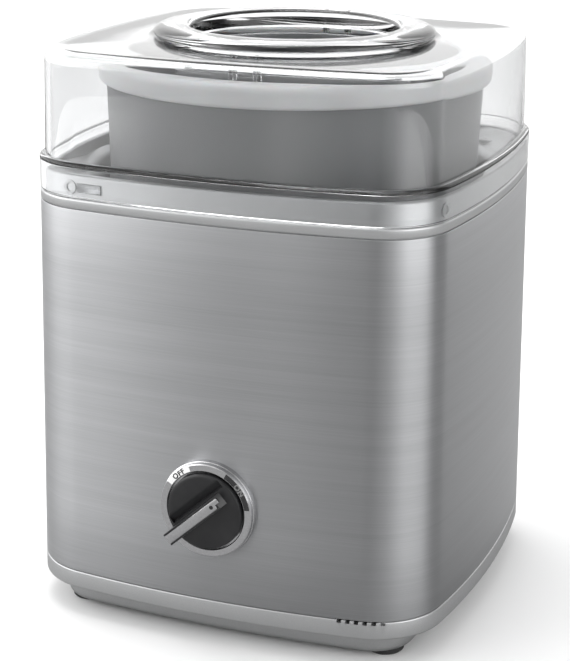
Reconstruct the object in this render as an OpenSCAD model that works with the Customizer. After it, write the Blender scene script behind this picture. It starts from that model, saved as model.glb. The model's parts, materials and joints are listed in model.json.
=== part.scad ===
// Bench-top ice cream maker: a spinning freezer bowl in a square steel body, under a clear lid.
// Origin on the table at the middle of the whole outline, knob included, +Z up, front face towards -Y.
// The modules are drawn round the bowl's axis, and in_place() sets that axis axis_y behind the origin.
// Millimetres.

/* [Body] */
// Width of the steel body at its top edge, measured at the middle of the bowed sides
body_w = 211.2; // [208:0.2:216]
// Depth of the steel body at its top edge
body_d = 205; // [202:0.2:210]
// How much each side stands further out at the bottom of the body than at the top
body_flare = 2.6; // [1:0.2:3]
// Radius of the body's upright corners
corner_r = 33.5; // [30:0.5:36]
// How far each side bows out between its corners
side_bow = 4.6; // [3:0.2:6]
// Height of the body's lower edge above the table
sleeve_bottom = 23.8; // [23:0.2:25]
// Height of the body's upper edge above the table
sleeve_top = 204.4; // [203:0.2:206]
// Thickness of the steel sheet
sheet_t = 0.8; // [0.6:0.1:1]

/* [Base] */
// Height of the base pan's underside above the table
foot_gap = 3; // [2:0.5:4]
// Height of the step where the base pan widens
pan_step = 14.3; // [13:0.1:15]
// Half width and half depth of the narrow lower part of the pan
pan_half = 94.2; // [92:0.2:96]
// Wall thickness of the moulded parts
wall = 2.5; // [2.2:0.1:2.8]
// Radius of each rubber foot
foot_r = 9; // [7:0.5:10]

/* [Top housing] */
// Height of the visible trim band above the steel
trim_h = 5.1; // [4:0.1:6]
// Height of the flat deck inside the lid
deck_z = 220.5; // [218:0.5:221]
// Inside radius of the round well
well_r = 95.2; // [95:0.1:95.6]
// Height of the well's floor
well_floor = 100; // [99:0.5:101]

/* [Lid] */
// Height of the ledge where the lid steps in
ledge_z = 226; // [225:0.5:228]
// Height of the lid's flat top
lid_top = 276; // [275:0.5:278]
// Thickness of the clear plastic
lid_t = 2.5; // [2.2:0.1:2.6]
// How far the lid's upper walls stand in from its skirt
ledge_w = 3.1; // [2:0.1:3.4]
// Rounding of the lid's top edge, made as a chamfer
lid_edge = 6; // [4:0.5:7]
// Radius of the filling spout's bore
spout_r = 50.2; // [49:0.2:51]
// Outside radius of the spout's thick lip
spout_lip_r = 68; // [66:0.5:70]
// Height of the spout's lip
spout_top = 281.7; // [281:0.1:283]

/* [Bowl] */
// Outside radius of the bowl just under its rim
bowl_r = 90.3; // [89:0.1:91]
// Outside radius of the bowl's rim
rim_r = 94.2; // [93:0.1:94.6]
// Height of the bowl's top edge
bowl_top = 267; // [266:0.5:268]
// Depth of the rim band
rim_h = 11; // [10:0.5:12]
// Height of the bowl's underside
bowl_bottom = 112; // [112:0.5:113]

/* [Control] */
// Height of the control knob's centre
knob_z = 70.5; // [69:0.5:72]
// Outside radius of the bright ring round the knob
bezel_r = 23.3; // [22:0.1:24]
// Radius of the knob's black disc
dial_r = 18.3; // [17.5:0.1:18.6]
// Angle of the pointer at rest, anticlockwise from three o'clock
pointer_angle = 222; // [215:1:230]

/* [Drive] */
// Teeth of the small gears on the motor and the first shaft
pinion_teeth = 12; // [12:1:13]
// Teeth of the large gears on the first and second shafts
wheel_teeth = 54; // [52:1:54]
// Teeth of the small gear that drives the output wheel
last_pinion_teeth = 14; // [14:1:15]
// Teeth of the output wheel
output_teeth = 60; // [58:1:60]
// Radius of the shaft that carries the turntable
shaft_r = 5; // [4.5:0.1:5]

/* [Hidden] */
$fn = 96;
half_w = body_w / 2;
half_d = body_d / 2;
eps = 0.01; // overlap that joins two shapes of one solid
run = 0.05; // radial clearance of a running fit
axis_y = 5.8; // the bowl's axis behind the middle of the whole outline, because the knob stands out in front
seam = 0.4; // open line between two cover parts
trim_z = sleeve_top + trim_h;
sleeve_h = sleeve_top - sleeve_bottom;
// half depth of the body where the knob sits
face_y = half_d + body_flare * (sleeve_top - (knob_z - bezel_r)) / sleeve_h;
bezel_back = face_y + 0.1;
bezel_front = bezel_back + 4.2;
dial_front = bezel_front + 2;
// corner columns that take the base screws
column_x = 78;
column_y = 75;
column_r = 5;
ear_z = 203; // underside of the well's ears
cord_x = -60;
cord_y = 85.7; // inner end of the gland
cord_z = 8.65;
cord_gland_r = 4.4;
cord_bore_r = 3.1;
// gear train: output shaft at the origin, second shaft behind it, first shaft to the left, motor in front
m_first = 0.8;
m_second = 1;
m_output = 1.25;
pressure = 25; // pressure angle of all the gears
backlash = 0.1; // thinning of each tooth at the pitch circle
second_pos = [0, m_output * (output_teeth + last_pinion_teeth) / 2];
first_pos = second_pos - [m_second * (wheel_teeth + pinion_teeth) / 2, 0];
motor_pos = first_pos - [0, m_first * (wheel_teeth + pinion_teeth) / 2];
lower_plate_z = 62;
plate_t = 2.5;
upper_plate_z = well_floor - wall - 6.5;
plate_min = [-64, -26];
plate_max = [46, 82];
post_inset = 6;
post_r = 5;
axle_r = 2.5;
first_wheel_z = 67;
second_wheel_z = 74;
output_wheel_z = 81.5;
// motor
core_z = 28;
core_h = 22;
rotor_r = 17;
core_half_w = 26;
core_front = motor_pos[1] - 66;
core_rear = motor_pos[1] + 26;
limb = 14; // width of the core's limb inside the coil
coil_t = 9; // thickness of the winding round the limb
motor_shaft_r = 2.5;
bracket_up_z = 54;
bracket_low_z = 20;
turntable_z = 102.5;
turntable_r = 36;
lug_ring_r = 26;
lug_r = 4;
shell_t = 2.2;
liner_t = 1.2;
liner_r = 80.5;
liner_floor = 126;
bowl_draft = 3.3;
bowl_lip = bowl_top - rim_h;
lid_cut = lid_top - 8; // height where the lid's walls meet its top

// --- shapes -------------------------------------------------------------------------------------

// Upright prism whose four sides bow out, with round corners. a and b are its half widths at the top,
// and every side leans out by flare towards the bottom. Four very large discs trim a star of side
// sectors joined by four corner discs, which reach past the large ones by a hair so that they cross.
module bowed_prism(a, b, r, bow, h, flare = 0) {
    px = a - r - bow;
    py = b - r - bow;
    big_x = (py * py + bow * bow) / (2 * bow);
    big_y = (px * px + bow * bow) / (2 * bow);
    cx = a - r - big_x;
    cy = b - r - big_y;
    fx = a + flare + 4;
    fy = b + flare + 4;
    ex = py * (fx - cx) / (px - cx);
    ey = px * (fy - cy) / (py - cy);
    intersection() {
        translate([cx, 0]) cylinder(h = h, r1 = big_x + r + flare, r2 = big_x + r, $fn = 360);
        translate([-cx, 0]) cylinder(h = h, r1 = big_x + r + flare, r2 = big_x + r, $fn = 360);
        translate([0, cy]) cylinder(h = h, r1 = big_y + r + flare, r2 = big_y + r, $fn = 360);
        translate([0, -cy]) cylinder(h = h, r1 = big_y + r + flare, r2 = big_y + r, $fn = 360);
        union() {
            linear_extrude(h) polygon([
                [fx, -ex], [fx, ex], [px, py], [ey, fy], [-ey, fy], [-px, py],
                [-fx, ex], [-fx, -ex], [-px, -py], [-ey, -fy], [ey, -fy], [px, -py],
            ]);
            for (sx = [-1, 1], sy = [-1, 1]) translate([sx * px, sy * py])
                cylinder(h = h, r1 = r + flare + 0.02, r2 = r + 0.02);
        }
    }
}

// Body outline taken in by inset, as a straight prism
module body_prism(inset, h) {
    bowed_prism(half_w - inset, half_d - inset, corner_r - inset, side_bow, h);
}

// The body's outer form between two heights, taken in by inset, with the body's own flare
module flared_body(inset, z0, z1) {
    top = body_flare * (sleeve_top - z1) / sleeve_h;
    lean = body_flare * (z1 - z0) / sleeve_h;
    translate([0, 0, z0])
        bowed_prism(half_w - inset + top, half_d - inset + top, corner_r - inset + top,
            side_bow, z1 - z0, lean);
}

module tube(h, outer, inner) difference() {
    cylinder(h = h, r = outer);
    translate([0, 0, -1]) cylinder(h = h + 2, r = inner);
}

// Screw along +Z with its head's underside at the origin and a cross recess in the head
module screw(length, r, head_r, head_h) {
    cylinder(h = length, r = r, $fn = 24);
    difference() {
        translate([0, 0, -head_h]) cylinder(h = head_h, r = head_r, $fn = 32);
        for (t = [0, 90]) rotate(t)
            translate([-head_r * 0.6, -0.4, -head_h - 1]) cube([head_r * 1.2, 0.8, 1 + head_h / 2]);
    }
}

// --- gears --------------------------------------------------------------------------------------

function involute_turn(base, radius) = let (t = sqrt(pow(radius / base, 2) - 1)) t * 180 / PI - atan(t);

// One flank from the root to the tip, as [radius, angle from the tooth's middle]
function flank(teeth, m) = let (
        pitch = m * teeth / 2,
        base = pitch * cos(pressure),
        root = pitch - 1.25 * m,
        tip = pitch + m,
        half = (90 / teeth) - backlash / 2 / pitch * 180 / PI,
        start = max(base + 0.001, root)
    ) concat(
        root < base ? [[root, half + involute_turn(base, pitch)]] : [],
        [for (k = [0:3]) let (q = start + (tip - start) * k / 3)
            [q, half + involute_turn(base, pitch) - involute_turn(base, q)]]
    );

function tooth(teeth, m, middle) = let (f = flank(teeth, m)) concat(
        [for (p = f) p[0] * [cos(middle - p[1]), sin(middle - p[1])]],
        [for (k = [len(f) - 1:-1:0]) f[k][0] * [cos(middle + f[k][1]), sin(middle + f[k][1])]]
    );

module gear(teeth, m, h, phase) {
    linear_extrude(h) polygon([for (n = [0:teeth - 1]) each tooth(teeth, m, phase + 360 * n / teeth)]);
}

// Angle of gear b's first tooth, in mesh with gear a that lies the other way from towards
function mesh_phase(phase_a, teeth_a, teeth_b, towards) =
    towards + 180 - ((phase_a - towards) * teeth_a + 180) / teeth_b;

last_pinion_phase = mesh_phase(0, output_teeth, last_pinion_teeth, 90);
first_pinion_phase = mesh_phase(0, wheel_teeth, pinion_teeth, 180);
motor_pinion_phase = mesh_phase(0, wheel_teeth, pinion_teeth, 270);

// --- base and covers ----------------------------------------------------------------------------

module base_pan() color([0.66, 0.67, 0.68]) difference() {
    union() {
        difference() {
            union() {
                translate([0, 0, foot_gap])
                    bowed_prism(pan_half, pan_half, 21, side_bow * 0.8, pan_step - foot_gap + eps);
                flared_body(0, pan_step, sleeve_bottom - seam);
                flared_body(sheet_t + 0.1, pan_step, sleeve_bottom + 6);
            }
            translate([0, 0, foot_gap + wall])
                bowed_prism(pan_half - wall, pan_half - wall, 21 - wall, side_bow * 0.8, pan_step - foot_gap);
            flared_body(sheet_t + 0.1 + wall, pan_step + wall, sleeve_bottom + 7);
        }
        for (sx = [-1, 1], sy = [-1, 1])
            translate([sx * column_x, sy * column_y, foot_gap + 1]) cylinder(h = 16, r = column_r + 2.5);
    }
    for (sx = [-1, 1], sy = [-1, 1]) {
        translate([sx * column_x, sy * column_y, 0]) cylinder(h = 40, r = 2.2);
        translate([sx * column_x, sy * column_y, 0]) cylinder(h = 7.2, r = 4.6);
        translate([sx * column_x, sy * column_y, 16]) cylinder(h = 20, r = column_r + 0.15);
        translate([sx * column_x, sy * column_y, foot_gap - 1]) cylinder(h = 2.2, r = foot_r);
    }
    // row of small slots under the front edge of the steel
    for (n = [0:5]) translate([62.6 + n * 4, -half_d - 6, sleeve_bottom - seam - 1.4]) cube([2.1, 14, 2]);
    // cooling slots in the floor under the fan
    for (n = [-3:3]) translate([motor_pos[0] - 22, motor_pos[1] + n * 7 - 1.5, 0]) cube([44, 3, 8]);
    // outlet for the power cord
    translate([cord_x, cord_y - 2, cord_z]) rotate([-90, 0, 0]) {
        cylinder(h = 30, r = cord_gland_r + 0.05);
        cylinder(h = 4.8, r = cord_gland_r + 0.55);
    }
}

module foot(sx, sy) color([0.08, 0.08, 0.08]) translate([sx * column_x, sy * column_y, 0]) {
    translate([0, 0, 0.8]) cylinder(h = foot_gap + 0.4, r = foot_r);
    cylinder(h = 0.8 + eps, r1 = foot_r - 0.8, r2 = foot_r);
}

module base_screws() color("gray")
    for (sx = [-1, 1], sy = [-1, 1]) translate([sx * column_x, sy * column_y, 7.2]) screw(22, 1.9, 4, 2.4);

module body_sleeve() color([0.72, 0.73, 0.74]) difference() {
    flared_body(0, sleeve_bottom, sleeve_top);
    flared_body(sheet_t, sleeve_bottom - 1, sleeve_top + 1);
    translate([0, -half_d + 20, knob_z]) rotate([90, 0, 0]) cylinder(h = 40, r = dial_r - 1);
}

module top_housing() color([0.68, 0.69, 0.7]) difference() {
    union() {
        translate([0, 0, sleeve_top + seam]) body_prism(0, trim_h - seam);
        translate([0, 0, trim_z - 1]) body_prism(lid_t + 0.6, deck_z - trim_z + 1);
        translate([0, 0, sleeve_top - 8]) body_prism(sheet_t + 0.2, 8 + seam + eps);
        at_columns() translate([0, 0, 16]) cylinder(h = deck_z - 18, r = column_r);
    }
    // hollow under the deck, which follows the dished mouth
    difference() {
        translate([0, 0, sleeve_top - 9]) body_prism(lid_t + 0.6 + wall, deck_z - sleeve_top + 9 - wall);
        translate([0, 0, deck_z - 8.5 - wall]) mouth_cone(9);
        at_columns() cylinder(h = 300, r = column_r);
    }
    // hole for the well, and the dished mouth that leads into it
    cylinder(h = 300, r = well_r + wall + 0.1);
    intersection() {
        translate([0, 0, deck_z - 8.5]) mouth_cone(9);
        translate([0, 0, deck_z - 9]) bowed_prism(half_w - 7.1, half_d - 7.1, corner_r + 4.5, side_bow, 12);
    }
    // screw holes
    at_columns() cylinder(h = 34, r = 1.9);
}

module mouth_cone(h) {
    cylinder(h = h, r1 = well_r + 2, r2 = well_r + 24);
}

module at_columns() {
    for (sx = [-1, 1], sy = [-1, 1]) translate([sx * column_x, sy * column_y, 0]) children();
}

// Deep round wall that the bowl turns in. Its ears slip over the columns.
module bowl_well() color([0.62, 0.63, 0.64]) difference() {
    union() {
        translate([0, 0, well_floor]) cylinder(h = deck_z - 8.5 - well_floor, r = well_r + wall);
        for (sx = [-1, 1], sy = [-1, 1]) translate([0, 0, ear_z]) {
            translate([sx * column_x, sy * column_y, 0]) cylinder(h = wall, r = column_r + 3.5);
            rotate(atan2(sy * column_y, sx * column_x)) translate([well_r + 1, -6, 0]) cube([8, 12, wall]);
        }
    }
    cylinder(h = 300, r = well_r);
    at_columns() cylinder(h = 300, r = column_r + 0.15);
}

// Plate that closes the bottom of the well. The gearbox hangs on its bosses.
module well_base() color([0.6, 0.61, 0.62]) difference() {
    union() {
        translate([0, 0, well_floor - wall]) cylinder(h = wall, r = well_r + wall);
        plate_corners() translate([0, 0, upper_plate_z + plate_t])
            cylinder(h = well_floor - upper_plate_z - plate_t - 1, r = 4.5);
    }
    translate([0, 0, well_floor - wall - 1]) cylinder(h = 9, r = 9 + 0.05);
    plate_corners() cylinder(h = well_floor - 1, r = 1.65);
}

module cord_gland() color([0.06, 0.06, 0.06])
    translate([cord_x, cord_y, cord_z]) rotate([-90, 0, 0]) difference() {
        union() {
            cylinder(h = 13.5, r = cord_gland_r);
            translate([0, 0, 6.5]) cylinder(h = 3, r = cord_gland_r + 1.1);
            cylinder(h = 2.6, r = cord_gland_r + 0.4);
        }
        translate([0, 0, -1]) cylinder(h = 20, r = cord_bore_r);
    }

module terminal_block() color([0.85, 0.85, 0.82]) translate([cord_x + 4, 50, foot_gap + wall]) difference() {
    cube([30, 14, 14]);
    for (n = [0:2]) translate([6 + n * 9, 7, 6]) cylinder(h = 10, r = 2.2);
}

// --- control ------------------------------------------------------------------------------------

// Turns shapes drawn on the XY plane to face the front, around the knob's centre
module on_front() {
    translate([0, 0, knob_z]) rotate([90, 0, 0]) children();
}

module knob_bezel() color([0.85, 0.85, 0.86]) difference() {
    union() {
        difference() {
            on_front() {
                translate([0, 0, bezel_back - 2]) cylinder(h = bezel_front - bezel_back + 1.2, r = bezel_r);
                translate([0, 0, bezel_front - 0.8 - eps])
                    cylinder(h = 0.8 + eps, r1 = bezel_r, r2 = bezel_r - 0.8);
            }
            flared_body(-0.1, knob_z - 40, knob_z + 40);
        }
        on_front() translate([0, 0, face_y - 4]) cylinder(h = 5.5, r = dial_r - 1.2);
    }
    on_front() {
        translate([0, 0, bezel_back + 1.2]) cylinder(h = 10, r = dial_r + 0.3);
        translate([0, 0, face_y - 5]) cylinder(h = 10, r = 5.2);
    }
}

module switch_body() color([0.12, 0.12, 0.13]) on_front() difference() {
    union() {
        translate([-13, -13, face_y - 22]) cube([26, 26, 18]);
        translate([0, 0, face_y - 4 - eps]) cylinder(h = 7.6, r = 5);
    }
    translate([0, 0, face_y - 20]) cylinder(h = 30, r = 3 + run);
    for (n = [-1, 1]) translate([n * 8 - 1.5, -12, face_y - 23]) cube([3, 5, 3]);
}

module switch_nut() color([0.75, 0.72, 0.62]) on_front() translate([0, 0, bezel_back + 1.2]) difference() {
    cylinder(h = 2.2, r = 8, $fn = 6);
    translate([0, 0, -1]) cylinder(h = 5, r = 5);
}

module switch_spindle() color([0.8, 0.8, 0.8]) on_front() translate([0, 0, face_y - 18]) difference() {
    cylinder(h = 24.5, r = 3);
    translate([1.8, -4, 18]) cube([4, 8, 10]);
}

module knob_dial() color([0.07, 0.07, 0.07]) on_front() difference() {
    union() {
        translate([0, 0, bezel_back + 1.8]) cylinder(h = dial_front - bezel_back - 2.4, r = dial_r);
        translate([0, 0, dial_front - 0.6 - eps]) cylinder(h = 0.6 + eps, r1 = dial_r, r2 = dial_r - 0.6);
        rotate(pointer_angle) translate([-14, -3.3, dial_front - 1]) cube([35, 6.6, 6.6]);
    }
    translate([0, 0, bezel_back]) cylinder(h = 4.2, r = 9.6);
    translate([0, 0, bezel_back]) intersection() {
        cylinder(h = 6.4, r = 3);
        translate([-4, -4, 0]) cube([5.8, 8, 10]);
    }
    // channel for the bright strip, and the slope that runs down from it to the disc
    rotate(pointer_angle) translate([-9, -2.2, dial_front + 4.4]) cube([40, 4.4, 4]);
    rotate(pointer_angle) translate([-14, -5, dial_front]) rotate([0, -42, 0])
        translate([-1, 0, 0]) cube([20, 10, 10]);
}

module knob_pointer() color([0.85, 0.85, 0.86]) on_front()
    rotate(pointer_angle) translate([-9, -2.2, dial_front + 4.4]) cube([30, 4.4, 1.4]);

// --- gearbox ------------------------------------------------------------------------------------

module plate_corners() {
    for (x = [plate_min[0] + post_inset, plate_max[0] - post_inset],
         y = [plate_min[1] + post_inset, plate_max[1] - post_inset]) translate([x, y]) children();
}

module gearbox_plate(z) translate([0, 0, z]) difference() {
    translate([plate_min[0], plate_min[1], 0])
        cube([plate_max[0] - plate_min[0], plate_max[1] - plate_min[1], plate_t]);
    translate([0, 0, -1]) {
        cylinder(h = 9, r = shaft_r + 3.05);
        translate(first_pos) cylinder(h = 9, r = axle_r);
        translate(second_pos) cylinder(h = 9, r = axle_r);
        plate_corners() cylinder(h = 9, r = 2.2);
    }
}

module gearbox_lower_plate() color([0.62, 0.62, 0.64]) difference() {
    gearbox_plate(lower_plate_z);
    translate([motor_pos[0], motor_pos[1], 0]) cylinder(h = 100, r = 8);
    for (s = [-1, 1]) translate([motor_pos[0] + s * 21, motor_pos[1] + s * 21, 0]) cylinder(h = 100, r = 2);
}

module gearbox_upper_plate() color([0.62, 0.62, 0.64]) gearbox_plate(upper_plate_z);

module gearbox_posts() color([0.7, 0.7, 0.7]) plate_corners()
    translate([0, 0, lower_plate_z + plate_t]) tube(upper_plate_z - lower_plate_z - plate_t, post_r, 2.2);

module gearbox_screws() color([0.75, 0.75, 0.7]) plate_corners()
    translate([0, 0, lower_plate_z]) screw(upper_plate_z - lower_plate_z + 7, 1.6, 3.4, 2);

module axle(pos) color([0.8, 0.8, 0.82]) translate([pos[0], pos[1], lower_plate_z])
    cylinder(h = upper_plate_z + plate_t - lower_plate_z, r = axle_r);

module first_gear() color([0.93, 0.92, 0.86]) translate(first_pos) difference() {
    union() {
        translate([0, 0, first_wheel_z]) gear(wheel_teeth, m_first, 5, 0);
        translate([0, 0, first_wheel_z + 5 - eps]) gear(pinion_teeth, m_second, 8.5, first_pinion_phase);
        translate([0, 0, lower_plate_z + plate_t + 0.5])
            cylinder(h = upper_plate_z - lower_plate_z - plate_t - 1, r = 4);
    }
    cylinder(h = 200, r = axle_r + run);
}

module second_gear() color([0.93, 0.92, 0.86]) translate(second_pos) difference() {
    union() {
        translate([0, 0, second_wheel_z]) gear(wheel_teeth, m_second, 6, 0);
        translate([0, 0, second_wheel_z + 6 - eps]) gear(last_pinion_teeth, m_output, 9.6, last_pinion_phase);
        translate([0, 0, lower_plate_z + plate_t + 0.5]) cylinder(h = 9.5, r = 5);
    }
    cylinder(h = 200, r = axle_r + run);
}

module output_gear() color([0.93, 0.92, 0.86]) difference() {
    union() {
        translate([0, 0, output_wheel_z]) gear(output_teeth, m_output, 7.5, 0);
        translate([0, 0, lower_plate_z + plate_t + 3]) cylinder(h = 15, r = 9);
    }
    cylinder(h = 200, r = shaft_r);
}

module lower_bush() color([0.72, 0.55, 0.3]) translate([0, 0, lower_plate_z]) bush();

module upper_bush() color([0.72, 0.55, 0.3])
    translate([0, 0, upper_plate_z + plate_t]) mirror([0, 0, 1]) bush();

// Flanged plain bearing that sits in a gearbox plate from inside
module bush() difference() {
    union() {
        cylinder(h = plate_t + eps, r = shaft_r + 3);
        translate([0, 0, plate_t]) cylinder(h = 1, r = shaft_r + 5);
    }
    translate([0, 0, -1]) cylinder(h = 9, r = shaft_r + run);
}

module shaft_seal() color([0.1, 0.1, 0.1]) translate([0, 0, well_floor - wall]) difference() {
    union() {
        cylinder(h = wall + eps, r = 9);
        translate([0, 0, wall]) cylinder(h = 1.2, r = 11);
    }
    translate([0, 0, -1]) cylinder(h = 9, r = shaft_r + run);
}

module output_shaft() color([0.8, 0.8, 0.82]) difference() {
    translate([0, 0, lower_plate_z - 3]) cylinder(h = turntable_z + 8 - lower_plate_z + 3, r = shaft_r);
    translate([0, 0, lower_plate_z - 2.2]) tube(1.1, shaft_r + 1, shaft_r - 1);
}

module shaft_clip() color([0.3, 0.3, 0.3]) translate([0, 0, lower_plate_z - 2.2]) difference() {
    cylinder(h = 1.1, r = shaft_r + 3.2);
    translate([0, 0, -1]) cylinder(h = 3, r = shaft_r - 1);
    translate([0, -2.5, -1]) cube([12, 5, 3]);
}

module turntable() color([0.2, 0.2, 0.21]) difference() {
    union() {
        translate([0, 0, turntable_z]) cylinder(h = 4.2, r = turntable_r);
        translate([0, 0, turntable_z + 4]) cylinder(h = 2, r = 9);
        for (n = [0:3]) rotate(90 * n + 45)
            translate([lug_ring_r, 0, turntable_z + 4]) cylinder(h = 5, r = lug_r);
    }
    translate([0, 0, turntable_z - 1]) cylinder(h = 20, r = shaft_r);
}

// --- motor --------------------------------------------------------------------------------------

module at_motor(z) {
    translate([motor_pos[0], motor_pos[1], z]) children();
}

module stator_core() color([0.35, 0.36, 0.38]) difference() {
    translate([motor_pos[0] - core_half_w, core_front, core_z])
        cube([2 * core_half_w, core_rear - core_front, core_h]);
    at_motor(0) cylinder(h = 90, r = rotor_r + 0.6);
    translate([motor_pos[0] - core_half_w + 8, core_front + limb, 0]) cube([2 * core_half_w - 16, 24, 90]);
    for (s = [-1, 1]) at_motor(0) translate([s * 21, s * 21, 0]) cylinder(h = 90, r = 2);
}

module coil_form(grow, length) {
    translate([motor_pos[0] - length / 2, core_front - grow, core_z - grow])
        cube([length, limb + 2 * grow, core_h + 2 * grow]);
}

module coil_bobbin() color([0.9, 0.88, 0.8]) difference() {
    union() {
        coil_form(1.4, 35);
        for (s = [-1, 1]) translate([s * 16.7, 0, 0]) coil_form(coil_t, 1.6);
    }
    coil_form(0, 60);
}

module coil_winding() color([0.7, 0.38, 0.18]) difference() {
    coil_form(coil_t - 1, 31.8);
    coil_form(1.4, 60);
}

// Strap across the motor's face, with a bearing seat in the middle
module motor_bracket() difference() {
    rotate(45) translate([-36, -9, 0]) cube([72, 18, 2]);
    translate([0, 0, -1]) cylinder(h = 9, r = 6);
    for (s = [-1, 1]) translate([s * 21, s * 21, -1]) cylinder(h = 9, r = 2);
}

module motor_upper_bracket() color([0.7, 0.71, 0.72]) {
    at_motor(bracket_up_z) motor_bracket();
    for (s = [-1, 1]) at_motor(core_z + core_h)
        translate([s * 21, s * 21, 0]) tube(bracket_up_z - core_z - core_h + eps, 4, 2);
}

module motor_lower_bracket() color([0.7, 0.71, 0.72]) {
    at_motor(bracket_low_z) motor_bracket();
    for (s = [-1, 1]) at_motor(bracket_low_z + 2 - eps)
        translate([s * 21, s * 21, 0]) tube(core_z - bracket_low_z - 2 + eps, 4, 2);
}

module motor_bush() tube(4.5, 6, motor_shaft_r + run);

module motor_upper_bush() color([0.72, 0.55, 0.3]) at_motor(bracket_up_z - 1) motor_bush();

module motor_lower_bush() color([0.72, 0.55, 0.3]) at_motor(bracket_low_z - 1) motor_bush();

// Long screws that clamp the motor together and hang it under the gearbox, with their spacers
module motor_screws() color([0.75, 0.75, 0.7])
    for (s = [-1, 1]) at_motor(bracket_low_z) translate([s * 21, s * 21, 0]) {
    screw(lower_plate_z + plate_t - bracket_low_z, 2, 3.8, 2.2);
    translate([0, 0, bracket_up_z + 2 - bracket_low_z]) cylinder(h = lower_plate_z - bracket_up_z - 2, r = 4);
}

module rotor_core() color([0.5, 0.51, 0.53]) at_motor(core_z) tube(core_h, rotor_r, motor_shaft_r);

module rotor_shaft() color([0.8, 0.8, 0.82]) at_motor(9.5)
    cylinder(h = first_wheel_z + 7 - 9.5, r = motor_shaft_r);

module motor_pinion() color([0.75, 0.6, 0.3]) at_motor(first_wheel_z - 1) difference() {
    gear(pinion_teeth, m_first, 7, motor_pinion_phase);
    translate([0, 0, -1]) cylinder(h = 12, r = motor_shaft_r);
}

module cooling_fan() color([0.25, 0.25, 0.27]) at_motor(9.5) difference() {
    union() {
        cylinder(h = 7, r = 7);
        cylinder(h = 1.2, r = 24);
        for (n = [0:8]) rotate(40 * n) translate([6, -0.7, 0]) cube([17.5, 1.4, 7]);
    }
    translate([0, 0, -1]) cylinder(h = 12, r = motor_shaft_r);
}

// --- wiring -------------------------------------------------------------------------------------

wire_r = 1.2;

function ring_at(path, k) = let (
        n = len(path) - 1,
        d = path[min(k + 1, n)] - path[max(k - 1, 0)],
        u = d / norm(d),
        s = [1, 1, 1],
        v = cross(u, s) / norm(cross(u, s)),
        w = cross(u, v)
    ) [for (t = [0:45:315]) path[k] + wire_r * (cos(t) * v + sin(t) * w)];

// Path with its corners cut twice, so that the wire bends softly
function softer(p) = let (n = len(p) - 1) concat([p[0]],
    [for (k = [0:n - 1]) each [0.75 * p[k] + 0.25 * p[k + 1], 0.25 * p[k] + 0.75 * p[k + 1]]], [p[n]]);

// Round wire of eight sides along a list of points
module wire(rough_path) {
    path = softer(softer(rough_path));
    n = len(path);
    polyhedron(
        points = [for (k = [0:n - 1]) each ring_at(path, k)],
        faces = concat(
            [[7, 6, 5, 4, 3, 2, 1, 0]],
            [for (k = [0:n - 2], t = [0:7])
                [8 * k + t, 8 * k + (t + 1) % 8, 8 * k + 8 + (t + 1) % 8, 8 * k + 8 + t]],
            [[for (t = [0:7]) 8 * (n - 1) + t]]
        )
    );
}

live_path = [[-50, 57, 13], [-50, 57, 26], [-62, 50, 28], [-72, 38, 28], [-78, 20, 28], [-79, -10, 30],
    [-76, -40, 36], [-66, -62, 46], [-44, -72, 58], [-22, -74, 63], [-8, -74, 61], [-8, -84, 61]];
switched_path = [[8, -84, 61], [8, -74, 61], [10, -70, 56], [10, -64, 48], [4, -58, 43], [-6, -52, 41],
    [-14, -50, 40]];
neutral_path = [[-41, 57, 13], [-41, 57, 24], [-50, 51, 23.5], [-64, 36, 23], [-69, 6, 25], [-68, -24, 28],
    [-67, -38, 34], [-64, -47, 38], [-58.5, -50.5, 40], [-52.7, -50.5, 40]];

module live_lead() color([0.45, 0.25, 0.12]) wire(live_path);
module switched_lead() color([0.6, 0.12, 0.1]) wire(switched_path);
module neutral_lead() color([0.15, 0.3, 0.6]) wire(neutral_path);

// --- bowl ---------------------------------------------------------------------------------------

module bowl_shell() color([0.45, 0.46, 0.47]) rotate_extrude() polygon([
    [0, bowl_bottom], [bowl_r - bowl_draft - 7, bowl_bottom], [bowl_r - bowl_draft - 1.5, bowl_bottom + 2.5],
    [bowl_r - bowl_draft, bowl_bottom + 8], [bowl_r, bowl_lip], [bowl_r - shell_t, bowl_lip],
    [bowl_r - bowl_draft - shell_t, bowl_bottom + 8], [bowl_r - bowl_draft - 9, bowl_bottom + 2.4],
    [0, bowl_bottom + 2.4],
]);

module bowl_liner() color([0.78, 0.79, 0.8]) rotate_extrude() polygon([
    [0, liner_floor], [liner_r - 11, liner_floor], [liner_r - 4, liner_floor + 7], [liner_r, bowl_top - 2],
    [liner_r + liner_t, bowl_top - 2], [liner_r - 4 + liner_t, liner_floor + 6.5],
    [liner_r - 10.5, liner_floor - liner_t], [0, liner_floor - liner_t],
]);

module bowl_rim() color([0.86, 0.87, 0.88]) rotate_extrude() polygon([
    [liner_r + liner_t, bowl_lip], [rim_r - 1.2, bowl_lip], [rim_r, bowl_lip + 1.2], [rim_r, bowl_top - 3],
    [rim_r - 3, bowl_top], [liner_r, bowl_top], [liner_r, bowl_top - 2], [liner_r + liner_t, bowl_top - 2],
]);

module coolant_gel() color([0.4, 0.62, 0.8, 0.6]) rotate_extrude() polygon([
    [0, bowl_bottom + 2.4], [bowl_r - bowl_draft - 9, bowl_bottom + 2.4],
    [bowl_r - bowl_draft - shell_t, bowl_bottom + 8], [bowl_r - shell_t - 0.3, bowl_lip - 12],
    [liner_r + liner_t - 0.3, bowl_lip - 12], [liner_r - 4 + liner_t, liner_floor + 6.5],
    [liner_r - 10.5, liner_floor - liner_t], [0, liner_floor - liner_t],
]);

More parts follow.
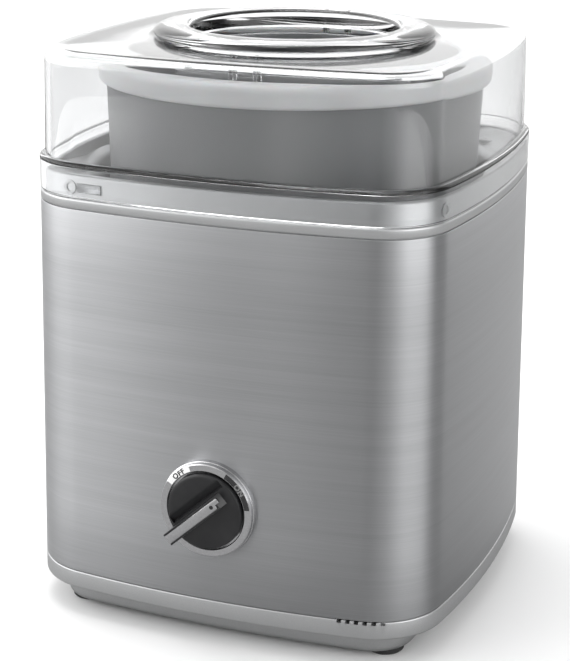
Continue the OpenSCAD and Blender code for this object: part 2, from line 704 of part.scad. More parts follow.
module bowl_drive_plate() color([0.3, 0.31, 0.32]) difference() {
    translate([0, 0, turntable_z + 4.5]) cylinder(h = bowl_bottom - turntable_z - 4.5, r = 58);
    translate([0, 0, 100]) cylinder(h = bowl_bottom - 100 - 1, r = 10);
    for (n = [0:3]) rotate(90 * n + 45) translate([lug_ring_r, 0, 100]) cylinder(h = 20, r = lug_r + 0.6);
}

// --- mixing arm and lid -------------------------------------------------------------------------

arm_ring_in = 53.6;
arm_ring_out = 57;
arm_top = 269;
arm_bottom = liner_floor + 0.6;
arm_reach = 74;

module mixing_arm() color([0.85, 0.88, 0.9, 0.5]) {
    translate([0, 0, arm_top - 9]) tube(9, arm_ring_out, arm_ring_in);
    for (s = [90, 270]) rotate(s) translate([arm_ring_out - 0.6, -4, arm_top - 7]) cube([5, 8, 5]);
    for (s = [0, 180]) rotate(s) {
        // upright leg under the ring, and the blade that reaches out to the bowl's wall
        translate([arm_ring_in, -7, arm_bottom]) cube([3.2, 14, arm_top - 9 - arm_bottom + eps]);
        translate([arm_ring_in + 3, -1.5, arm_bottom]) cube([arm_reach - 5.6 - arm_ring_in - 3, 3, 104]);
        translate([arm_ring_in + 3, -1.5, arm_bottom + 34]) cube([arm_reach + 0.6 - arm_ring_in - 3, 3, 70]);
        // half of the cross bar along the floor, and its slanted scraper
        translate([0, -7, arm_bottom]) cube([arm_ring_in + 3, 14, 3]);
        translate([14, 4.8, arm_bottom + 1]) rotate([38, 0, 0]) cube([34, 3, 24]);
    }
}

module lid_shell() color([0.9, 0.92, 0.94, 0.3]) {
    difference() {
        lid_form(0);
        lid_form(lid_t);
        above(lid_cut);
    }
    for (t = [0:3]) lid_stud(t == 0 || t == 3 ? -1 : 1, t < 2 ? -1 : 1, 260 + 90 * t);
}

module lid_top() color([0.9, 0.92, 0.94, 0.3]) difference() {
    intersection() {
        lid_form(0);
        above(lid_cut);
    }
    lid_form(lid_t);
    cylinder(h = 400, r = spout_lip_r - 2);
}

// Thick lip of the spout, the neck that centres the mixing arm, and ribs that keep the arm from turning
module spout_ring() color([0.88, 0.9, 0.92, 0.4]) {
    spout_lip();
    translate([0, 0, lid_top - 14]) tube(14 - lid_t + eps, spout_r + 2.3, spout_r);
    for (s = [90, 270], t = [-1, 1]) rotate(s)
        translate([58, t * 6 - 1, lid_top - 12]) cube([6, 2, 12 - lid_t + eps]);
}

module above(z) {
    translate([-150, -150, z]) cube([300, 300, 60]);
}

// Stepped form of the lid, taken in by inset: skirt, box, chamfered top edge
module lid_form(inset) {
    in_box = ledge_w + inset;
    z_skirt = ledge_z - inset;
    z_box = lid_top - lid_edge - inset * 0.4;
    z_top = lid_top - inset;
    h_top = z_top - z_box;
    bottom = trim_z + (inset > 0 ? -1 : 0.3);
    translate([0, 0, bottom]) body_prism(inset, z_skirt - bottom);
    translate([0, 0, z_skirt - eps])
        bowed_prism(half_w - in_box, half_d - in_box, corner_r - in_box, side_bow, z_box - z_skirt + eps);
    translate([0, 0, z_box - eps])
        bowed_prism(half_w - in_box - h_top, half_d - in_box - h_top, corner_r - in_box - h_top, side_bow,
            h_top + eps, h_top);
}

module spout_lip() rotate_extrude() polygon([
    [spout_r, lid_top - lid_t], [spout_lip_r - 2.1, lid_top - lid_t], [spout_lip_r - 2.1, lid_top + 0.1],
    [spout_lip_r - 1, lid_top + 0.2], [spout_lip_r, lid_top + 2], [spout_lip_r - 0.4, lid_top + 3.6],
    [spout_lip_r - 2.4, lid_top + 4.9], [spout_lip_r - 5.5, spout_top - 0.2], [spout_r + 4, spout_top],
    [spout_r, spout_top],
]);

// Small locating ring inside the skirt, at an angle round the middle of one corner's curve
module lid_stud(sx, sy, angle) {
    translate([sx * (half_w - corner_r - side_bow), sy * (half_d - corner_r - side_bow), trim_z + 5])
        rotate([0, 90, angle]) translate([0, 0, corner_r - lid_t - 0.5]) tube(0.9, 3.3, 1.8);
}

// --- output -------------------------------------------------------------------------------------

module in_place() {
    translate([0, axis_y, 0]) children();
}

in_place() base_pan();
in_place() foot(-1, -1);  // foot_front_left
in_place() foot(1, -1);  // foot_front_right
in_place() foot(-1, 1);  // foot_rear_left
in_place() foot(1, 1);  // foot_rear_right
in_place() base_screws();
in_place() body_sleeve();
in_place() top_housing();
in_place() bowl_well();
in_place() well_base();
in_place() cord_gland();
in_place() terminal_block();
in_place() knob_bezel();
in_place() switch_body();
in_place() switch_nut();
in_place() switch_spindle();
in_place() knob_dial();
in_place() knob_pointer();
in_place() gearbox_lower_plate();
in_place() gearbox_upper_plate();
in_place() gearbox_posts();
in_place() gearbox_screws();
in_place() axle(first_pos);  // first_axle
in_place() axle(second_pos);  // second_axle
in_place() first_gear();
in_place() second_gear();
in_place() output_gear();
in_place() lower_bush();
in_place() upper_bush();
in_place() shaft_seal();
in_place() output_shaft();
in_place() shaft_clip();
in_place() turntable();
in_place() stator_core();
in_place() coil_bobbin();
in_place() coil_winding();
in_place() motor_upper_bracket();
in_place() motor_lower_bracket();
in_place() motor_upper_bush();
in_place() motor_lower_bush();
in_place() motor_screws();
in_place() rotor_core();
in_place() rotor_shaft();
in_place() motor_pinion();
in_place() cooling_fan();
in_place() live_lead();
in_place() switched_lead();
in_place() neutral_lead();
in_place() bowl_shell();
in_place() bowl_liner();
in_place() bowl_rim();
in_place() bowl_drive_plate();
in_place() coolant_gel();
in_place() mixing_arm();
in_place() lid_shell();
in_place() lid_top();
in_place() spout_ring();
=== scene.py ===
import json
import math

import bmesh
import bpy
from mathutils import Matrix, Vector, kdtree


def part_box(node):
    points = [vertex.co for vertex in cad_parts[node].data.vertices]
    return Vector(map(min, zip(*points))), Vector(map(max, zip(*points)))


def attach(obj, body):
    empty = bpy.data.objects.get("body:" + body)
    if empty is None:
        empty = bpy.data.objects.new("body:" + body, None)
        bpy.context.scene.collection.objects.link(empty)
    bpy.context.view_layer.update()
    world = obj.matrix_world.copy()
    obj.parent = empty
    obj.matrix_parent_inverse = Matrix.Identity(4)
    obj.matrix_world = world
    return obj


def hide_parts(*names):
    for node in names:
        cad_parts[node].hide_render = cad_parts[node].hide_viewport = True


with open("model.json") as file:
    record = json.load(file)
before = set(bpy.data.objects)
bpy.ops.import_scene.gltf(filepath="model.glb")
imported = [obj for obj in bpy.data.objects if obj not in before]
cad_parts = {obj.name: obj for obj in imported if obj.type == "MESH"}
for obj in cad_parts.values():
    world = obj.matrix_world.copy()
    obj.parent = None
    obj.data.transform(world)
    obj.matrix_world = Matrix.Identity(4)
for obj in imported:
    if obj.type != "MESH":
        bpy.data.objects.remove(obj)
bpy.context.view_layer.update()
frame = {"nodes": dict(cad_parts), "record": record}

bl_info = {
    "name": "Bench-top ice cream maker",
    "version": (1, 0, 0),
    "blender": (4, 5, 0),
    "location": "View3D > Sidebar > Ice Cream Maker",
    "description": "Models the covers, lid, bowl and knob of an ice cream maker on its packed frame",
    "category": "Object",
}

MM = 0.001
SIDE_STEPS = 28
CORNER_STEPS = 20
ROUND_STEPS = 128

# the bowl's axis, and the outlines that the covers follow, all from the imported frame
rim_low, rim_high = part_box("bowl_rim")
AXIS = (rim_low + rim_high) / 2
housing_low, housing_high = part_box("top_housing")
HALF_X = (housing_high.x - housing_low.x) / 2 / MM
HALF_Y = (housing_high.y - housing_low.y) / 2 / MM
sleeve_low, sleeve_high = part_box("body_sleeve")
SLEEVE_BOTTOM, SLEEVE_TOP = sleeve_low.z / MM, sleeve_high.z / MM
FLARE = (sleeve_high.x - sleeve_low.x) / 2 / MM - HALF_X
DECK = housing_high.z / MM
LID_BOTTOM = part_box("lid_shell")[0].z / MM
LID_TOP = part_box("lid_top")[1].z / MM
SPOUT_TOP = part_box("spout_ring")[1].z / MM
PAN_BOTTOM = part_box("base_pan")[0].z / MM
PAN_HALF, PAN_CORNER, PAN_STEP = 94.2, 21, 14.3
bezel_low, bezel_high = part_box("knob_bezel")
KNOB = (bezel_low + bezel_high) / 2
BEZEL_RADIUS = (bezel_high.x - bezel_low.x) / 2 / MM
BEZEL_FRONT = (AXIS.y - bezel_low.y) / MM
DIAL_TIP = (AXIS.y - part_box("knob_dial")[0].y) / MM
RIM_RADIUS = (rim_high.x - rim_low.x) / 2 / MM
RIM_TOP, RIM_BOTTOM = rim_high.z / MM, rim_low.z / MM
shell_low, shell_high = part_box("bowl_shell")
BOWL_RADIUS = (shell_high.x - shell_low.x) / 2 / MM
BOWL_BOTTOM = shell_low.z / MM
liner_low, liner_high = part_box("bowl_liner")
LINER_RADIUS = (liner_high.x - liner_low.x) / 2 / MM - 1.2
WELL_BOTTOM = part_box("bowl_well")[0].z / MM


# --- sizes and colours ----------------------------------------------------------------------------

class CoverSizes(bpy.types.PropertyGroup):
    corner: bpy.props.FloatProperty(
        name="Corner", description="Radius of the body's upright corners", default=33.5 * MM,
        subtype="DISTANCE")
    bow: bpy.props.FloatProperty(
        name="Bow", description="How far each side bows out between its corners", default=4.6 * MM,
        subtype="DISTANCE")
    wall: bpy.props.FloatProperty(
        name="Wall", description="Thickness of the moulded plastic", default=2.5 * MM, subtype="DISTANCE")
    sheet: bpy.props.FloatProperty(
        name="Sheet", description="Thickness of the steel sheet", default=0.8 * MM, subtype="DISTANCE")
    lid_fillet: bpy.props.FloatProperty(
        name="Lid fillet", description="Rounding of the lid's top edge", default=6.5 * MM, subtype="DISTANCE")
    lid_ledge: bpy.props.FloatProperty(
        name="Lid ledge", description="How far the lid's upper walls stand in from its skirt",
        default=2.6 * MM, subtype="DISTANCE")
    well: bpy.props.FloatProperty(
        name="Well", description="Inside radius of the well", default=95.2 * MM, subtype="DISTANCE")


class KnobSizes(bpy.types.PropertyGroup):
    dial: bpy.props.FloatProperty(
        name="Dial", description="Radius of the black disc", default=18.9 * MM, subtype="DISTANCE")
    bar: bpy.props.FloatProperty(
        name="Bar", description="Width of the raised bar", default=6.2 * MM, subtype="DISTANCE")
    strip: bpy.props.FloatProperty(
        name="Strip", description="Width of the bright strip on the bar", default=4.4 * MM,
        subtype="DISTANCE")
    pointer: bpy.props.FloatProperty(
        name="Pointer", description="Angle of the bar, anticlockwise from three o'clock",
        default=math.radians(222), subtype="ANGLE")


class FinishColours(bpy.types.PropertyGroup):
    steel: bpy.props.FloatVectorProperty(
        name="Steel", description="Brushed steel of the body", size=3, subtype="COLOR",
        min=0, max=1,
        default=(0.45, 0.455, 0.465))
    silver: bpy.props.FloatVectorProperty(
        name="Silver", description="Silver plastic of the trim and base", size=3, subtype="COLOR",
        min=0, max=1,
        default=(0.5, 0.505, 0.51))
    bowl: bpy.props.FloatVectorProperty(
        name="Bowl", description="Outside of the freezer bowl", size=3, subtype="COLOR",
        min=0, max=1,
        default=(0.20, 0.203, 0.207))
    rim: bpy.props.FloatVectorProperty(
        name="Rim", description="Pale rim of the freezer bowl", size=3, subtype="COLOR",
        min=0, max=1,
        default=(0.66, 0.665, 0.67))
    clear: bpy.props.FloatVectorProperty(
        name="Clear", description="Tint of the clear lid", size=3, subtype="COLOR",
        min=0, max=1,
        default=(0.91, 0.915, 0.92))


# --- outlines and rings ---------------------------------------------------------------------------

def outline(half_x, half_y, corner, bow):
    """Points of a square with bowed sides and round corners, anticlockwise from its right side."""
    px, py = half_x - corner - bow, half_y - corner - bow
    big_x, big_y = (py * py + bow * bow) / (2 * bow), (px * px + bow * bow) / (2 * bow)
    turn_x, turn_y = math.asin(py / big_x), math.asin(px / big_y)
    quarter = math.pi / 2
    side_x, side_y = half_x - corner - big_x, half_y - corner - big_y
    arcs = []
    for n, (cx, cy, radius, turn) in enumerate((
            (side_x, 0, big_x + corner, turn_x), (0, side_y, big_y + corner, turn_y),
            (-side_x, 0, big_x + corner, turn_x), (0, -side_y, big_y + corner, turn_y))):
        middle = n * quarter
        next_turn = turn_y if n % 2 == 0 else turn_x
        arcs.append((cx, cy, radius, middle - turn, middle + turn, SIDE_STEPS))
        sx, sy = ((1, 1), (-1, 1), (-1, -1), (1, -1))[n]
        arcs.append((sx * px, sy * py, corner, middle + turn, middle + quarter - next_turn, CORNER_STEPS))
    points = []
    for cx, cy, radius, start, end, steps in arcs:
        for k in range(steps):
            angle = start + (end - start) * k / steps
            points.append((cx + radius * math.cos(angle), cy + radius * math.sin(angle)))
    return points


def at(x, y, z):
    """Place in metres of a point given in millimetres from the bowl's axis."""
    return (AXIS.x + x * MM, AXIS.y + y * MM, z * MM)


def on_front(x, depth, z):
    """Place in metres of a point in millimetres from the knob's middle, at a depth in front of the axis."""
    return (AXIS.x + x * MM, AXIS.y - depth * MM, KNOB.z + z * MM)


class Rings:
    """Level rings round the bowl's axis, in millimetres, as lists of points in metres."""

    def __init__(self, sizes):
        self.corner = sizes.corner / MM
        self.bow = sizes.bow / MM
        self.flat = outline(HALF_X, HALF_Y, self.corner, self.bow)
        self.angles = [math.atan2(y, x) for x, y in self.flat]

    def place(self, points, z):
        return [at(x, y, z(math.hypot(x, y)) if callable(z) else z) for x, y in points]

    def outline(self, inset):
        return outline(HALF_X - inset, HALF_Y - inset, self.corner - inset, self.bow)

    def square(self, inset, z):
        return self.place(self.outline(inset), z)

    def round(self, radius, z):
        return self.place([(radius * math.cos(a), radius * math.sin(a)) for a in self.angles], z)

    def round_within(self, radius, inset, z):
        """Circle held inside the square outline, where that outline is the smaller of the two."""
        kept = [min(radius, math.hypot(x, y)) for x, y in self.outline(inset)]
        return self.place([(r * math.cos(a), r * math.sin(a)) for r, a in zip(kept, self.angles)], z)

    def leaning(self, inset, z):
        """Outline of the flared body at a height."""
        return self.square(inset - FLARE * (SLEEVE_TOP - z) / (SLEEVE_TOP - SLEEVE_BOTTOM), z)

    def depth(self, x, z):
        """How far in front of the axis the steel's front stands at a place."""
        out = FLARE * (SLEEVE_TOP - z) / (SLEEVE_TOP - SLEEVE_BOTTOM)
        px = HALF_X - self.corner - self.bow
        big = (px * px + self.bow ** 2) / (2 * self.bow)
        return HALF_Y + out - self.corner - big + math.sqrt((big + self.corner) ** 2 - x * x)


def rounded(start, corner, end, steps=5):
    """Profile points of a rounded edge from start to end, both of them included."""
    points = []
    for k in range(steps + 1):
        t = math.pi / 2 * k / steps
        a, b = 1 - math.sin(t), 1 - math.cos(t)
        points.append(tuple(c + (s - c) * a + (e - c) * b for s, c, e in zip(start, corner, end)))
    return points


def edge(make_ring, start, corner, end, steps=5):
    """Rings of a rounded edge, each made by the given call."""
    return [make_ring(inset, z) for inset, z in rounded(start, corner, end, steps)]


def circle(radius, steps=ROUND_STEPS):
    """Points of a circle about nothing, in the units of its radius."""
    turns = [math.tau * k / steps for k in range(steps)]
    return [(radius * math.cos(turn), radius * math.sin(turn)) for turn in turns]


def round_ring(radius, z):
    """Level circle round the bowl's axis."""
    return [at(x, y, z) for x, y in circle(radius)]


def front_ring(radius, depth):
    """Circle that faces the front, round the knob's middle, at a depth in front of the axis."""
    return [on_front(x, depth(x, KNOB.z / MM + z) if callable(depth) else depth, z)
            for x, z in circle(radius)]


# --- modelling ------------------------------------------------------------------------------------

def clear_selection():
    if bpy.context.object and bpy.context.object.mode != "OBJECT":
        bpy.ops.object.mode_set(mode="OBJECT")
    bpy.ops.object.select_all(action="DESELECT")


def make_active(piece):
    clear_selection()
    piece.select_set(True)
    bpy.context.view_layer.objects.active = piece


def pull_through(name, rings, closed=True):
    """Starts from one ring and extrudes it through the others. A closed profile ends on its own start,
    and an open one is capped at both ends."""
    clear_selection()
    bpy.ops.mesh.primitive_circle_add(vertices=len(rings[0]), radius=0.05)
    piece = bpy.context.object
    piece.name = piece.data.name = name
    bpy.ops.object.mode_set(mode="EDIT")
    bpy.ops.mesh.select_mode(type="EDGE")
    bpy.ops.mesh.select_all(action="SELECT")
    for vert, point in zip(bmesh.from_edit_mesh(piece.data).verts, rings[0]):
        vert.co = point
    before = rings[0]
    for ring in rings[1:] + rings[:closed]:
        bpy.ops.mesh.extrude_edges_move()
        tree = kdtree.KDTree(len(before))
        for n, point in enumerate(before):
            tree.insert(point, n)
        tree.balance()
        for vert in bmesh.from_edit_mesh(piece.data).verts:
            if vert.select:
                vert.co = ring[tree.find(vert.co)[1]]
        bmesh.update_edit_mesh(piece.data)
        before = ring
    bpy.ops.mesh.select_all(action="SELECT")
    bpy.ops.mesh.remove_doubles(threshold=2e-6)
    if not closed:
        bpy.ops.mesh.fill_holes(sides=0)
    bpy.ops.mesh.normals_make_consistent(inside=False)
    bpy.ops.object.mode_set(mode="OBJECT")
    return piece


def smooth(piece, angle=32):
    make_active(piece)
    bpy.ops.object.shade_smooth_by_angle(angle=math.radians(angle))


def apply_all(piece):
    make_active(piece)
    for modifier in list(piece.modifiers):
        bpy.ops.object.modifier_apply(modifier=modifier.name)


def bevel(piece, width, segments=3, angle=35):
    """Rounds the edges of a piece by a width in millimetres."""
    modifier = piece.modifiers.new("soft edges", "BEVEL")
    modifier.width, modifier.segments = width * MM, segments
    modifier.limit_method, modifier.angle_limit = "ANGLE", math.radians(angle)
    modifier.harden_normals = False
    apply_all(piece)


def block(name, low, high, turn=None, edge=0.4):
    """Soft-edged block between two corners in metres, turned about its middle if asked."""
    clear_selection()
    low, high = Vector(low), Vector(high)
    bpy.ops.mesh.primitive_cube_add(size=1, location=(0, 0, 0))
    piece = bpy.context.object
    piece.name = piece.data.name = name
    piece.data.transform(Matrix.Diagonal((*(high - low), 1)))
    if edge:
        bevel(piece, edge)
    if turn:
        piece.data.transform(turn)
    piece.data.transform(Matrix.Translation((low + high) / 2))
    return piece


def cut(piece, cutters):
    """Takes cutters away from a piece, and removes them."""
    for cutter in cutters:
        modifier = piece.modifiers.new("cut", "BOOLEAN")
        modifier.operation, modifier.solver, modifier.object = "DIFFERENCE", "EXACT", cutter
        apply_all(piece)
        bpy.data.objects.remove(cutter)


def join(pieces, name):
    make_active(pieces[0])
    for piece in pieces[1:]:
        piece.select_set(True)
    if len(pieces) > 1:
        bpy.ops.object.join()
    piece = bpy.context.object
    piece.name = piece.data.name = name
    return piece


def finish_piece(piece, body, slot, replaces=(), look=None):
    """Gives a piece its finish (the given look, or else the finish for its slot), puts it under its body and
    hides the CAD nodes that it stands for.
    """
    piece.data.materials.clear()
    piece.data.materials.append(look or finish(slot))
    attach(piece, body)
    if replaces:
        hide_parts(*replaces)


# --- finishes -------------------------------------------------------------------------------------

class Finish:
    """Node tree of one finish, with short calls for the nodes that the finishes share."""

    def __init__(self, name, **settings):
        self.material = bpy.data.materials.new(name)
        self.material.use_nodes = True
        self.nodes, self.links = self.material.node_tree.nodes, self.material.node_tree.links
        self.shader = self.nodes["Principled BSDF"]
        self.set(self.shader, settings)

    def set(self, made, values):
        for socket, value in values.items():
            target = made.inputs[socket.replace("_", " ")]
            if isinstance(value, bpy.types.NodeSocket):
                self.links.new(value, target)
            elif target.type == "RGBA" and len(value) == 3:
                target.default_value = (*value, 1)
            else:
                target.default_value = value

    def add(self, kind, values=None, **settings):
        made = self.nodes.new("ShaderNode" + kind)
        for name, value in settings.items():
            setattr(made, name, value)
        self.set(made, values or {})
        return made

    def place(self, scale=(1, 1, 1), location=(0, 0, 0)):
        coordinates = self.add("TexCoord").outputs["Object"]
        values = {"Vector": coordinates, "Scale": scale, "Location": location}
        return self.add("Mapping", values).outputs["Vector"]

    def noise(self, vector, scale, detail=4.0, roughness=0.5):
        return self.add("TexNoise", {"Vector": vector, "Scale": scale, "Detail": detail,
                                     "Roughness": roughness}).outputs["Fac"]

    def ramp(self, factor, *stops):
        made = self.add("ValToRGB", {"Fac": factor})
        elements = made.color_ramp.elements
        while len(elements) < len(stops):
            elements.new(0.5)
        for element, (position, colour) in zip(elements, stops):
            element.position = position
            element.color = (*colour, 1) if len(colour) == 3 else (colour[0],) * 3 + (1,)
        return made.outputs["Color"]

    def math(self, operation, *values):
        made = self.add("Math", operation=operation)
        for socket, value in zip(made.inputs, values):
            if isinstance(value, bpy.types.NodeSocket):
                self.links.new(value, socket)
            else:
                socket.default_value = value
        return made.outputs["Value"]

    def between(self, factor, low, high):
        """Value that follows a 0 to 1 factor from low to high."""
        made = self.add("MapRange", {"Value": factor, "From_Min": 0.0, "From_Max": 1.0, "To_Min": low,
                                     "To_Max": high})
        return made.outputs["Result"]

    def mix(self, factor, first, second, kind="MIX"):
        made = self.add("Mix", data_type="RGBA", blend_type=kind)
        for socket, value in ((made.inputs[0], factor), (made.inputs[6], first), (made.inputs[7], second)):
            if isinstance(value, bpy.types.NodeSocket):
                self.links.new(value, socket)
            elif socket.type == "RGBA":
                socket.default_value = (*value[:3], 1)
            else:
                socket.default_value = value
        return made.outputs[2]

    def bump(self, height, strength, distance):
        made = self.add("Bump", {"Height": height, "Strength": strength, "Distance": distance})
        self.links.new(made.outputs["Normal"], self.shader.inputs["Normal"])

    def shade(self, **values):
        self.set(self.shader, values)
        return self.material


def tone(colour, by):
    return tuple(min(1.0, c * by) for c in colour)


def brushed_steel(colours):
    steel = Finish("brushed steel", Metallic=1.0, Anisotropic=0.95, Anisotropic_Rotation=0.25)
    lines = steel.noise(steel.place((18, 18, 2600)), 1.0, 3.0, 0.6)
    broad = steel.noise(steel.place((3, 3, 260)), 1.0, 2.0, 0.5)
    grain = steel.mix(0.35, lines, broad)
    tangent = steel.add("Tangent", direction_type="RADIAL", axis="Z").outputs["Tangent"]
    steel.bump(grain, 0.05, 0.00002)
    return steel.shade(
        Base_Color=steel.ramp(grain, (0.25, tone(colours.steel, 0.9)), (0.75, tone(colours.steel, 1.1))),
        Roughness=steel.between(grain, 0.3, 0.4), Tangent=tangent)


def silver_plastic(colours):
    silver = Finish("silver plastic", Metallic=0.85)
    flake = silver.noise(silver.place(), 5200, 2.0, 0.6)
    cloud = silver.noise(silver.place(), 26, 3.0, 0.5)
    silver.bump(flake, 0.12, 0.00002)
    return silver.shade(
        Base_Color=silver.ramp(flake, (0.3, tone(colours.silver, 0.88)), (0.7, tone(colours.silver, 1.1))),
        Roughness=silver.between(cloud, 0.34, 0.44), Coat_Weight=0.15, Coat_Roughness=0.25)


def chrome(colours):
    bright = Finish("chrome", Metallic=1.0)
    haze = bright.noise(bright.place((1, 1, 1)), 900, 3.0, 0.6)
    return bright.shade(
        Base_Color=bright.ramp(haze, (0.35, (0.56, 0.56, 0.57)), (0.65, (0.64, 0.64, 0.65))),
        Roughness=bright.between(haze, 0.1, 0.16))


def black_plastic(colours):
    black = Finish("black plastic", IOR=1.5)
    grain = black.noise(black.place(), 1500, 4.0, 0.6)
    wear = black.noise(black.place(), 60, 3.0, 0.6)
    black.bump(grain, 0.1, 0.00003)
    return black.shade(
        Base_Color=black.ramp(wear, (0.3, (0.008, 0.008, 0.009)), (0.7, (0.016, 0.016, 0.017))),
        Roughness=black.between(wear, 0.26, 0.36))


def clear_plastic(colours):
    clear = Finish("clear plastic", IOR=1.47, Transmission_Weight=1.0)
    marks = clear.noise(clear.place((1, 1, 0.4)), 130, 6.0, 0.65)
    fine = clear.noise(clear.place(), 9, 2.0, 0.5)
    clear.bump(fine, 0.04, 0.0004)
    return clear.shade(
        Base_Color=clear.ramp(fine, (0.3, tone(colours.clear, 0.985)), (0.7, tone(colours.clear, 1.0))),
        Roughness=clear.ramp(marks, (0.45, (0.015,)), (0.75, (0.07,))))


def arm_plastic(colours):
    arm = Finish("arm plastic", IOR=1.49, Transmission_Weight=0.55)
    cloud = arm.noise(arm.place(), 45, 4.0, 0.55)
    arm.bump(cloud, 0.06, 0.0001)
    return arm.shade(Base_Color=arm.ramp(cloud, (0.3, (0.52, 0.53, 0.54)), (0.7, (0.62, 0.63, 0.64))),
                     Roughness=arm.between(cloud, 0.16, 0.3))


def bowl_grey(colours):
    grey = Finish("bowl grey", IOR=1.46)
    grain = grey.noise(grey.place(), 2600, 3.0, 0.6)
    cloud = grey.noise(grey.place((1, 1, 0.5)), 14, 3.0, 0.5)
    grey.bump(grain, 0.15, 0.00004)
    return grey.shade(
        Base_Color=grey.ramp(cloud, (0.3, tone(colours.bowl, 0.93)), (0.7, tone(colours.bowl, 1.08))),
        Roughness=grey.between(grain, 0.42, 0.55))


def rim_plastic(colours):
    pale = Finish("rim plastic", IOR=1.48, Subsurface_Weight=0.1, Subsurface_Scale=0.002)
    grain = pale.noise(pale.place(), 1800, 3.0, 0.55)
    cloud = pale.noise(pale.place(), 22, 3.0, 0.5)
    pale.bump(grain, 0.08, 0.00003)
    return pale.shade(
        Base_Color=pale.ramp(cloud, (0.3, tone(colours.rim, 0.95)), (0.7, tone(colours.rim, 1.05))),
        Roughness=pale.between(cloud, 0.3, 0.4))


def spun_aluminium(colours):
    spun = Finish("spun aluminium", Metallic=1.0)
    middle = spun.place(location=(-AXIS.x, -AXIS.y, 0))
    level = spun.add("Mapping", {"Vector": middle, "Scale": (1, 1, 0)}).outputs["Vector"]
    radius = spun.add("VectorMath", {"Vector": level}, operation="LENGTH").outputs["Value"]
    height = spun.add("SeparateXYZ", {"Vector": middle}).outputs["Z"]
    along = spun.add("CombineXYZ", {"X": spun.math("ADD", radius, height)}).outputs["Vector"]
    rings = spun.noise(along, 2200, 4.0, 0.7)
    spun.bump(rings, 0.12, 0.00004)
    return spun.shade(Base_Color=spun.ramp(rings, (0.25, (0.1, 0.102, 0.105)), (0.75, (0.17, 0.173, 0.178))),
                      Roughness=spun.between(rings, 0.32, 0.5))


def grained(name, dark, light, scale, stretch=(1, 1, 1), rough=(0.4, 0.55), bump=(0.15, 0.00005), detail=4.0,
            **settings):
    """Finish whose colour, roughness and relief follow one stretched grain."""
    made = Finish(name, **settings)
    grain = made.noise(made.place(stretch), scale, detail, 0.6)
    cloud = made.noise(made.place(), scale / 40, 2.0, 0.5)
    made.bump(grain, *bump)
    return made.shade(Base_Color=made.ramp(made.mix(0.4, grain, cloud), (0.3, dark), (0.7, light)),
                      Roughness=made.between(grain, *rough))


def rubber(colours):
    return grained("foot rubber", (0.012, 0.012, 0.012), (0.03, 0.03, 0.031), 1400, rough=(0.6, 0.8),
                   bump=(0.4, 0.0001))


def machined_steel(colours):
    return grained("machined steel", (0.36, 0.365, 0.37), (0.58, 0.585, 0.59), 700, (1, 1, 6),
                   rough=(0.22, 0.38), Metallic=1.0)


def laminations(colours):
    core = Finish("stacked laminations", Metallic=0.9)
    height = core.add("SeparateXYZ", {"Vector": core.place()}).outputs["Z"]
    sheets = core.math("FRACT", core.math("MULTIPLY", height, 1 / (0.5 * MM)))
    gap = core.math("GREATER_THAN", sheets, 0.8)
    rust = core.noise(core.place(), 240, 5.0, 0.65)
    core.bump(core.math("SUBTRACT", 1.0, gap), 0.5, 0.0001)
    plate = core.ramp(rust, (0.35, (0.16, 0.165, 0.17)), (0.75, (0.24, 0.23, 0.215)))
    return core.shade(Base_Color=core.mix(gap, plate, (0.03, 0.03, 0.03)),
                      Roughness=core.between(rust, 0.4, 0.6))


def copper_winding(colours):
    coil = Finish("copper winding", Metallic=0.9, Coat_Weight=0.4)
    place = coil.add("SeparateXYZ", {"Vector": coil.place()}).outputs["X"]
    strand = coil.math("ABSOLUTE", coil.math("SINE", coil.math("MULTIPLY", place, math.pi / (0.45 * MM))))
    tint = coil.noise(coil.place((1, 0.1, 0.1)), 1800, 2.0, 0.5)
    coil.bump(strand, 0.8, 0.0002)
    return coil.shade(Base_Color=coil.ramp(tint, (0.3, (0.36, 0.13, 0.05)), (0.7, (0.62, 0.27, 0.11))),
                      Roughness=coil.between(tint, 0.25, 0.4))


def bronze(colours):
    return grained("sintered bronze", (0.34, 0.21, 0.09), (0.55, 0.37, 0.17), 2400, rough=(0.35, 0.55),
                   Metallic=1.0)


def nylon(colours):
    return grained("moulded nylon", (0.66, 0.64, 0.56), (0.78, 0.76, 0.68), 500, rough=(0.38, 0.52),
                   Subsurface_Weight=0.2, Subsurface_Scale=0.003)


def dark_plastic(colours):
    return grained("dark moulded plastic", (0.022, 0.022, 0.024), (0.045, 0.045, 0.048), 1600,
                   rough=(0.38, 0.55))


def coolant(colours):
    return grained("coolant gel", (0.3, 0.5, 0.66), (0.42, 0.6, 0.74), 90, rough=(0.2, 0.35),
                   Transmission_Weight=0.5, IOR=1.36)


def wire_cover(name, dark, light):
    return lambda colours: grained(name, dark, light, 1200, rough=(0.35, 0.5))


FINISHES = {
    "steel_sleeve": brushed_steel, "silver_plastic": silver_plastic, "chrome": chrome,
    "black_plastic": black_plastic, "clear_plastic": clear_plastic, "arm_plastic": arm_plastic,
    "bowl_grey": bowl_grey, "rim_plastic": rim_plastic, "aluminium": spun_aluminium, "coolant": coolant,
    "rubber": rubber, "machined_steel": machined_steel, "laminations": laminations, "copper": copper_winding,
    "bronze": bronze, "nylon": nylon, "dark_plastic": dark_plastic,
    "brown_wire": wire_cover("brown wire", (0.1, 0.04, 0.018), (0.17, 0.075, 0.035)),
    "red_wire": wire_cover("red wire", (0.3, 0.02, 0.016), (0.45, 0.04, 0.03)),
    "blue_wire": wire_cover("blue wire", (0.02, 0.07, 0.26), (0.04, 0.12, 0.4)),
}
made_finishes = {}


def finish(slot):
    if slot not in made_finishes:
        made_finishes[slot] = FINISHES[slot](bpy.context.scene.finish_colours)
    return made_finishes[slot]


# --- operators ------------------------------------------------------------------------------------

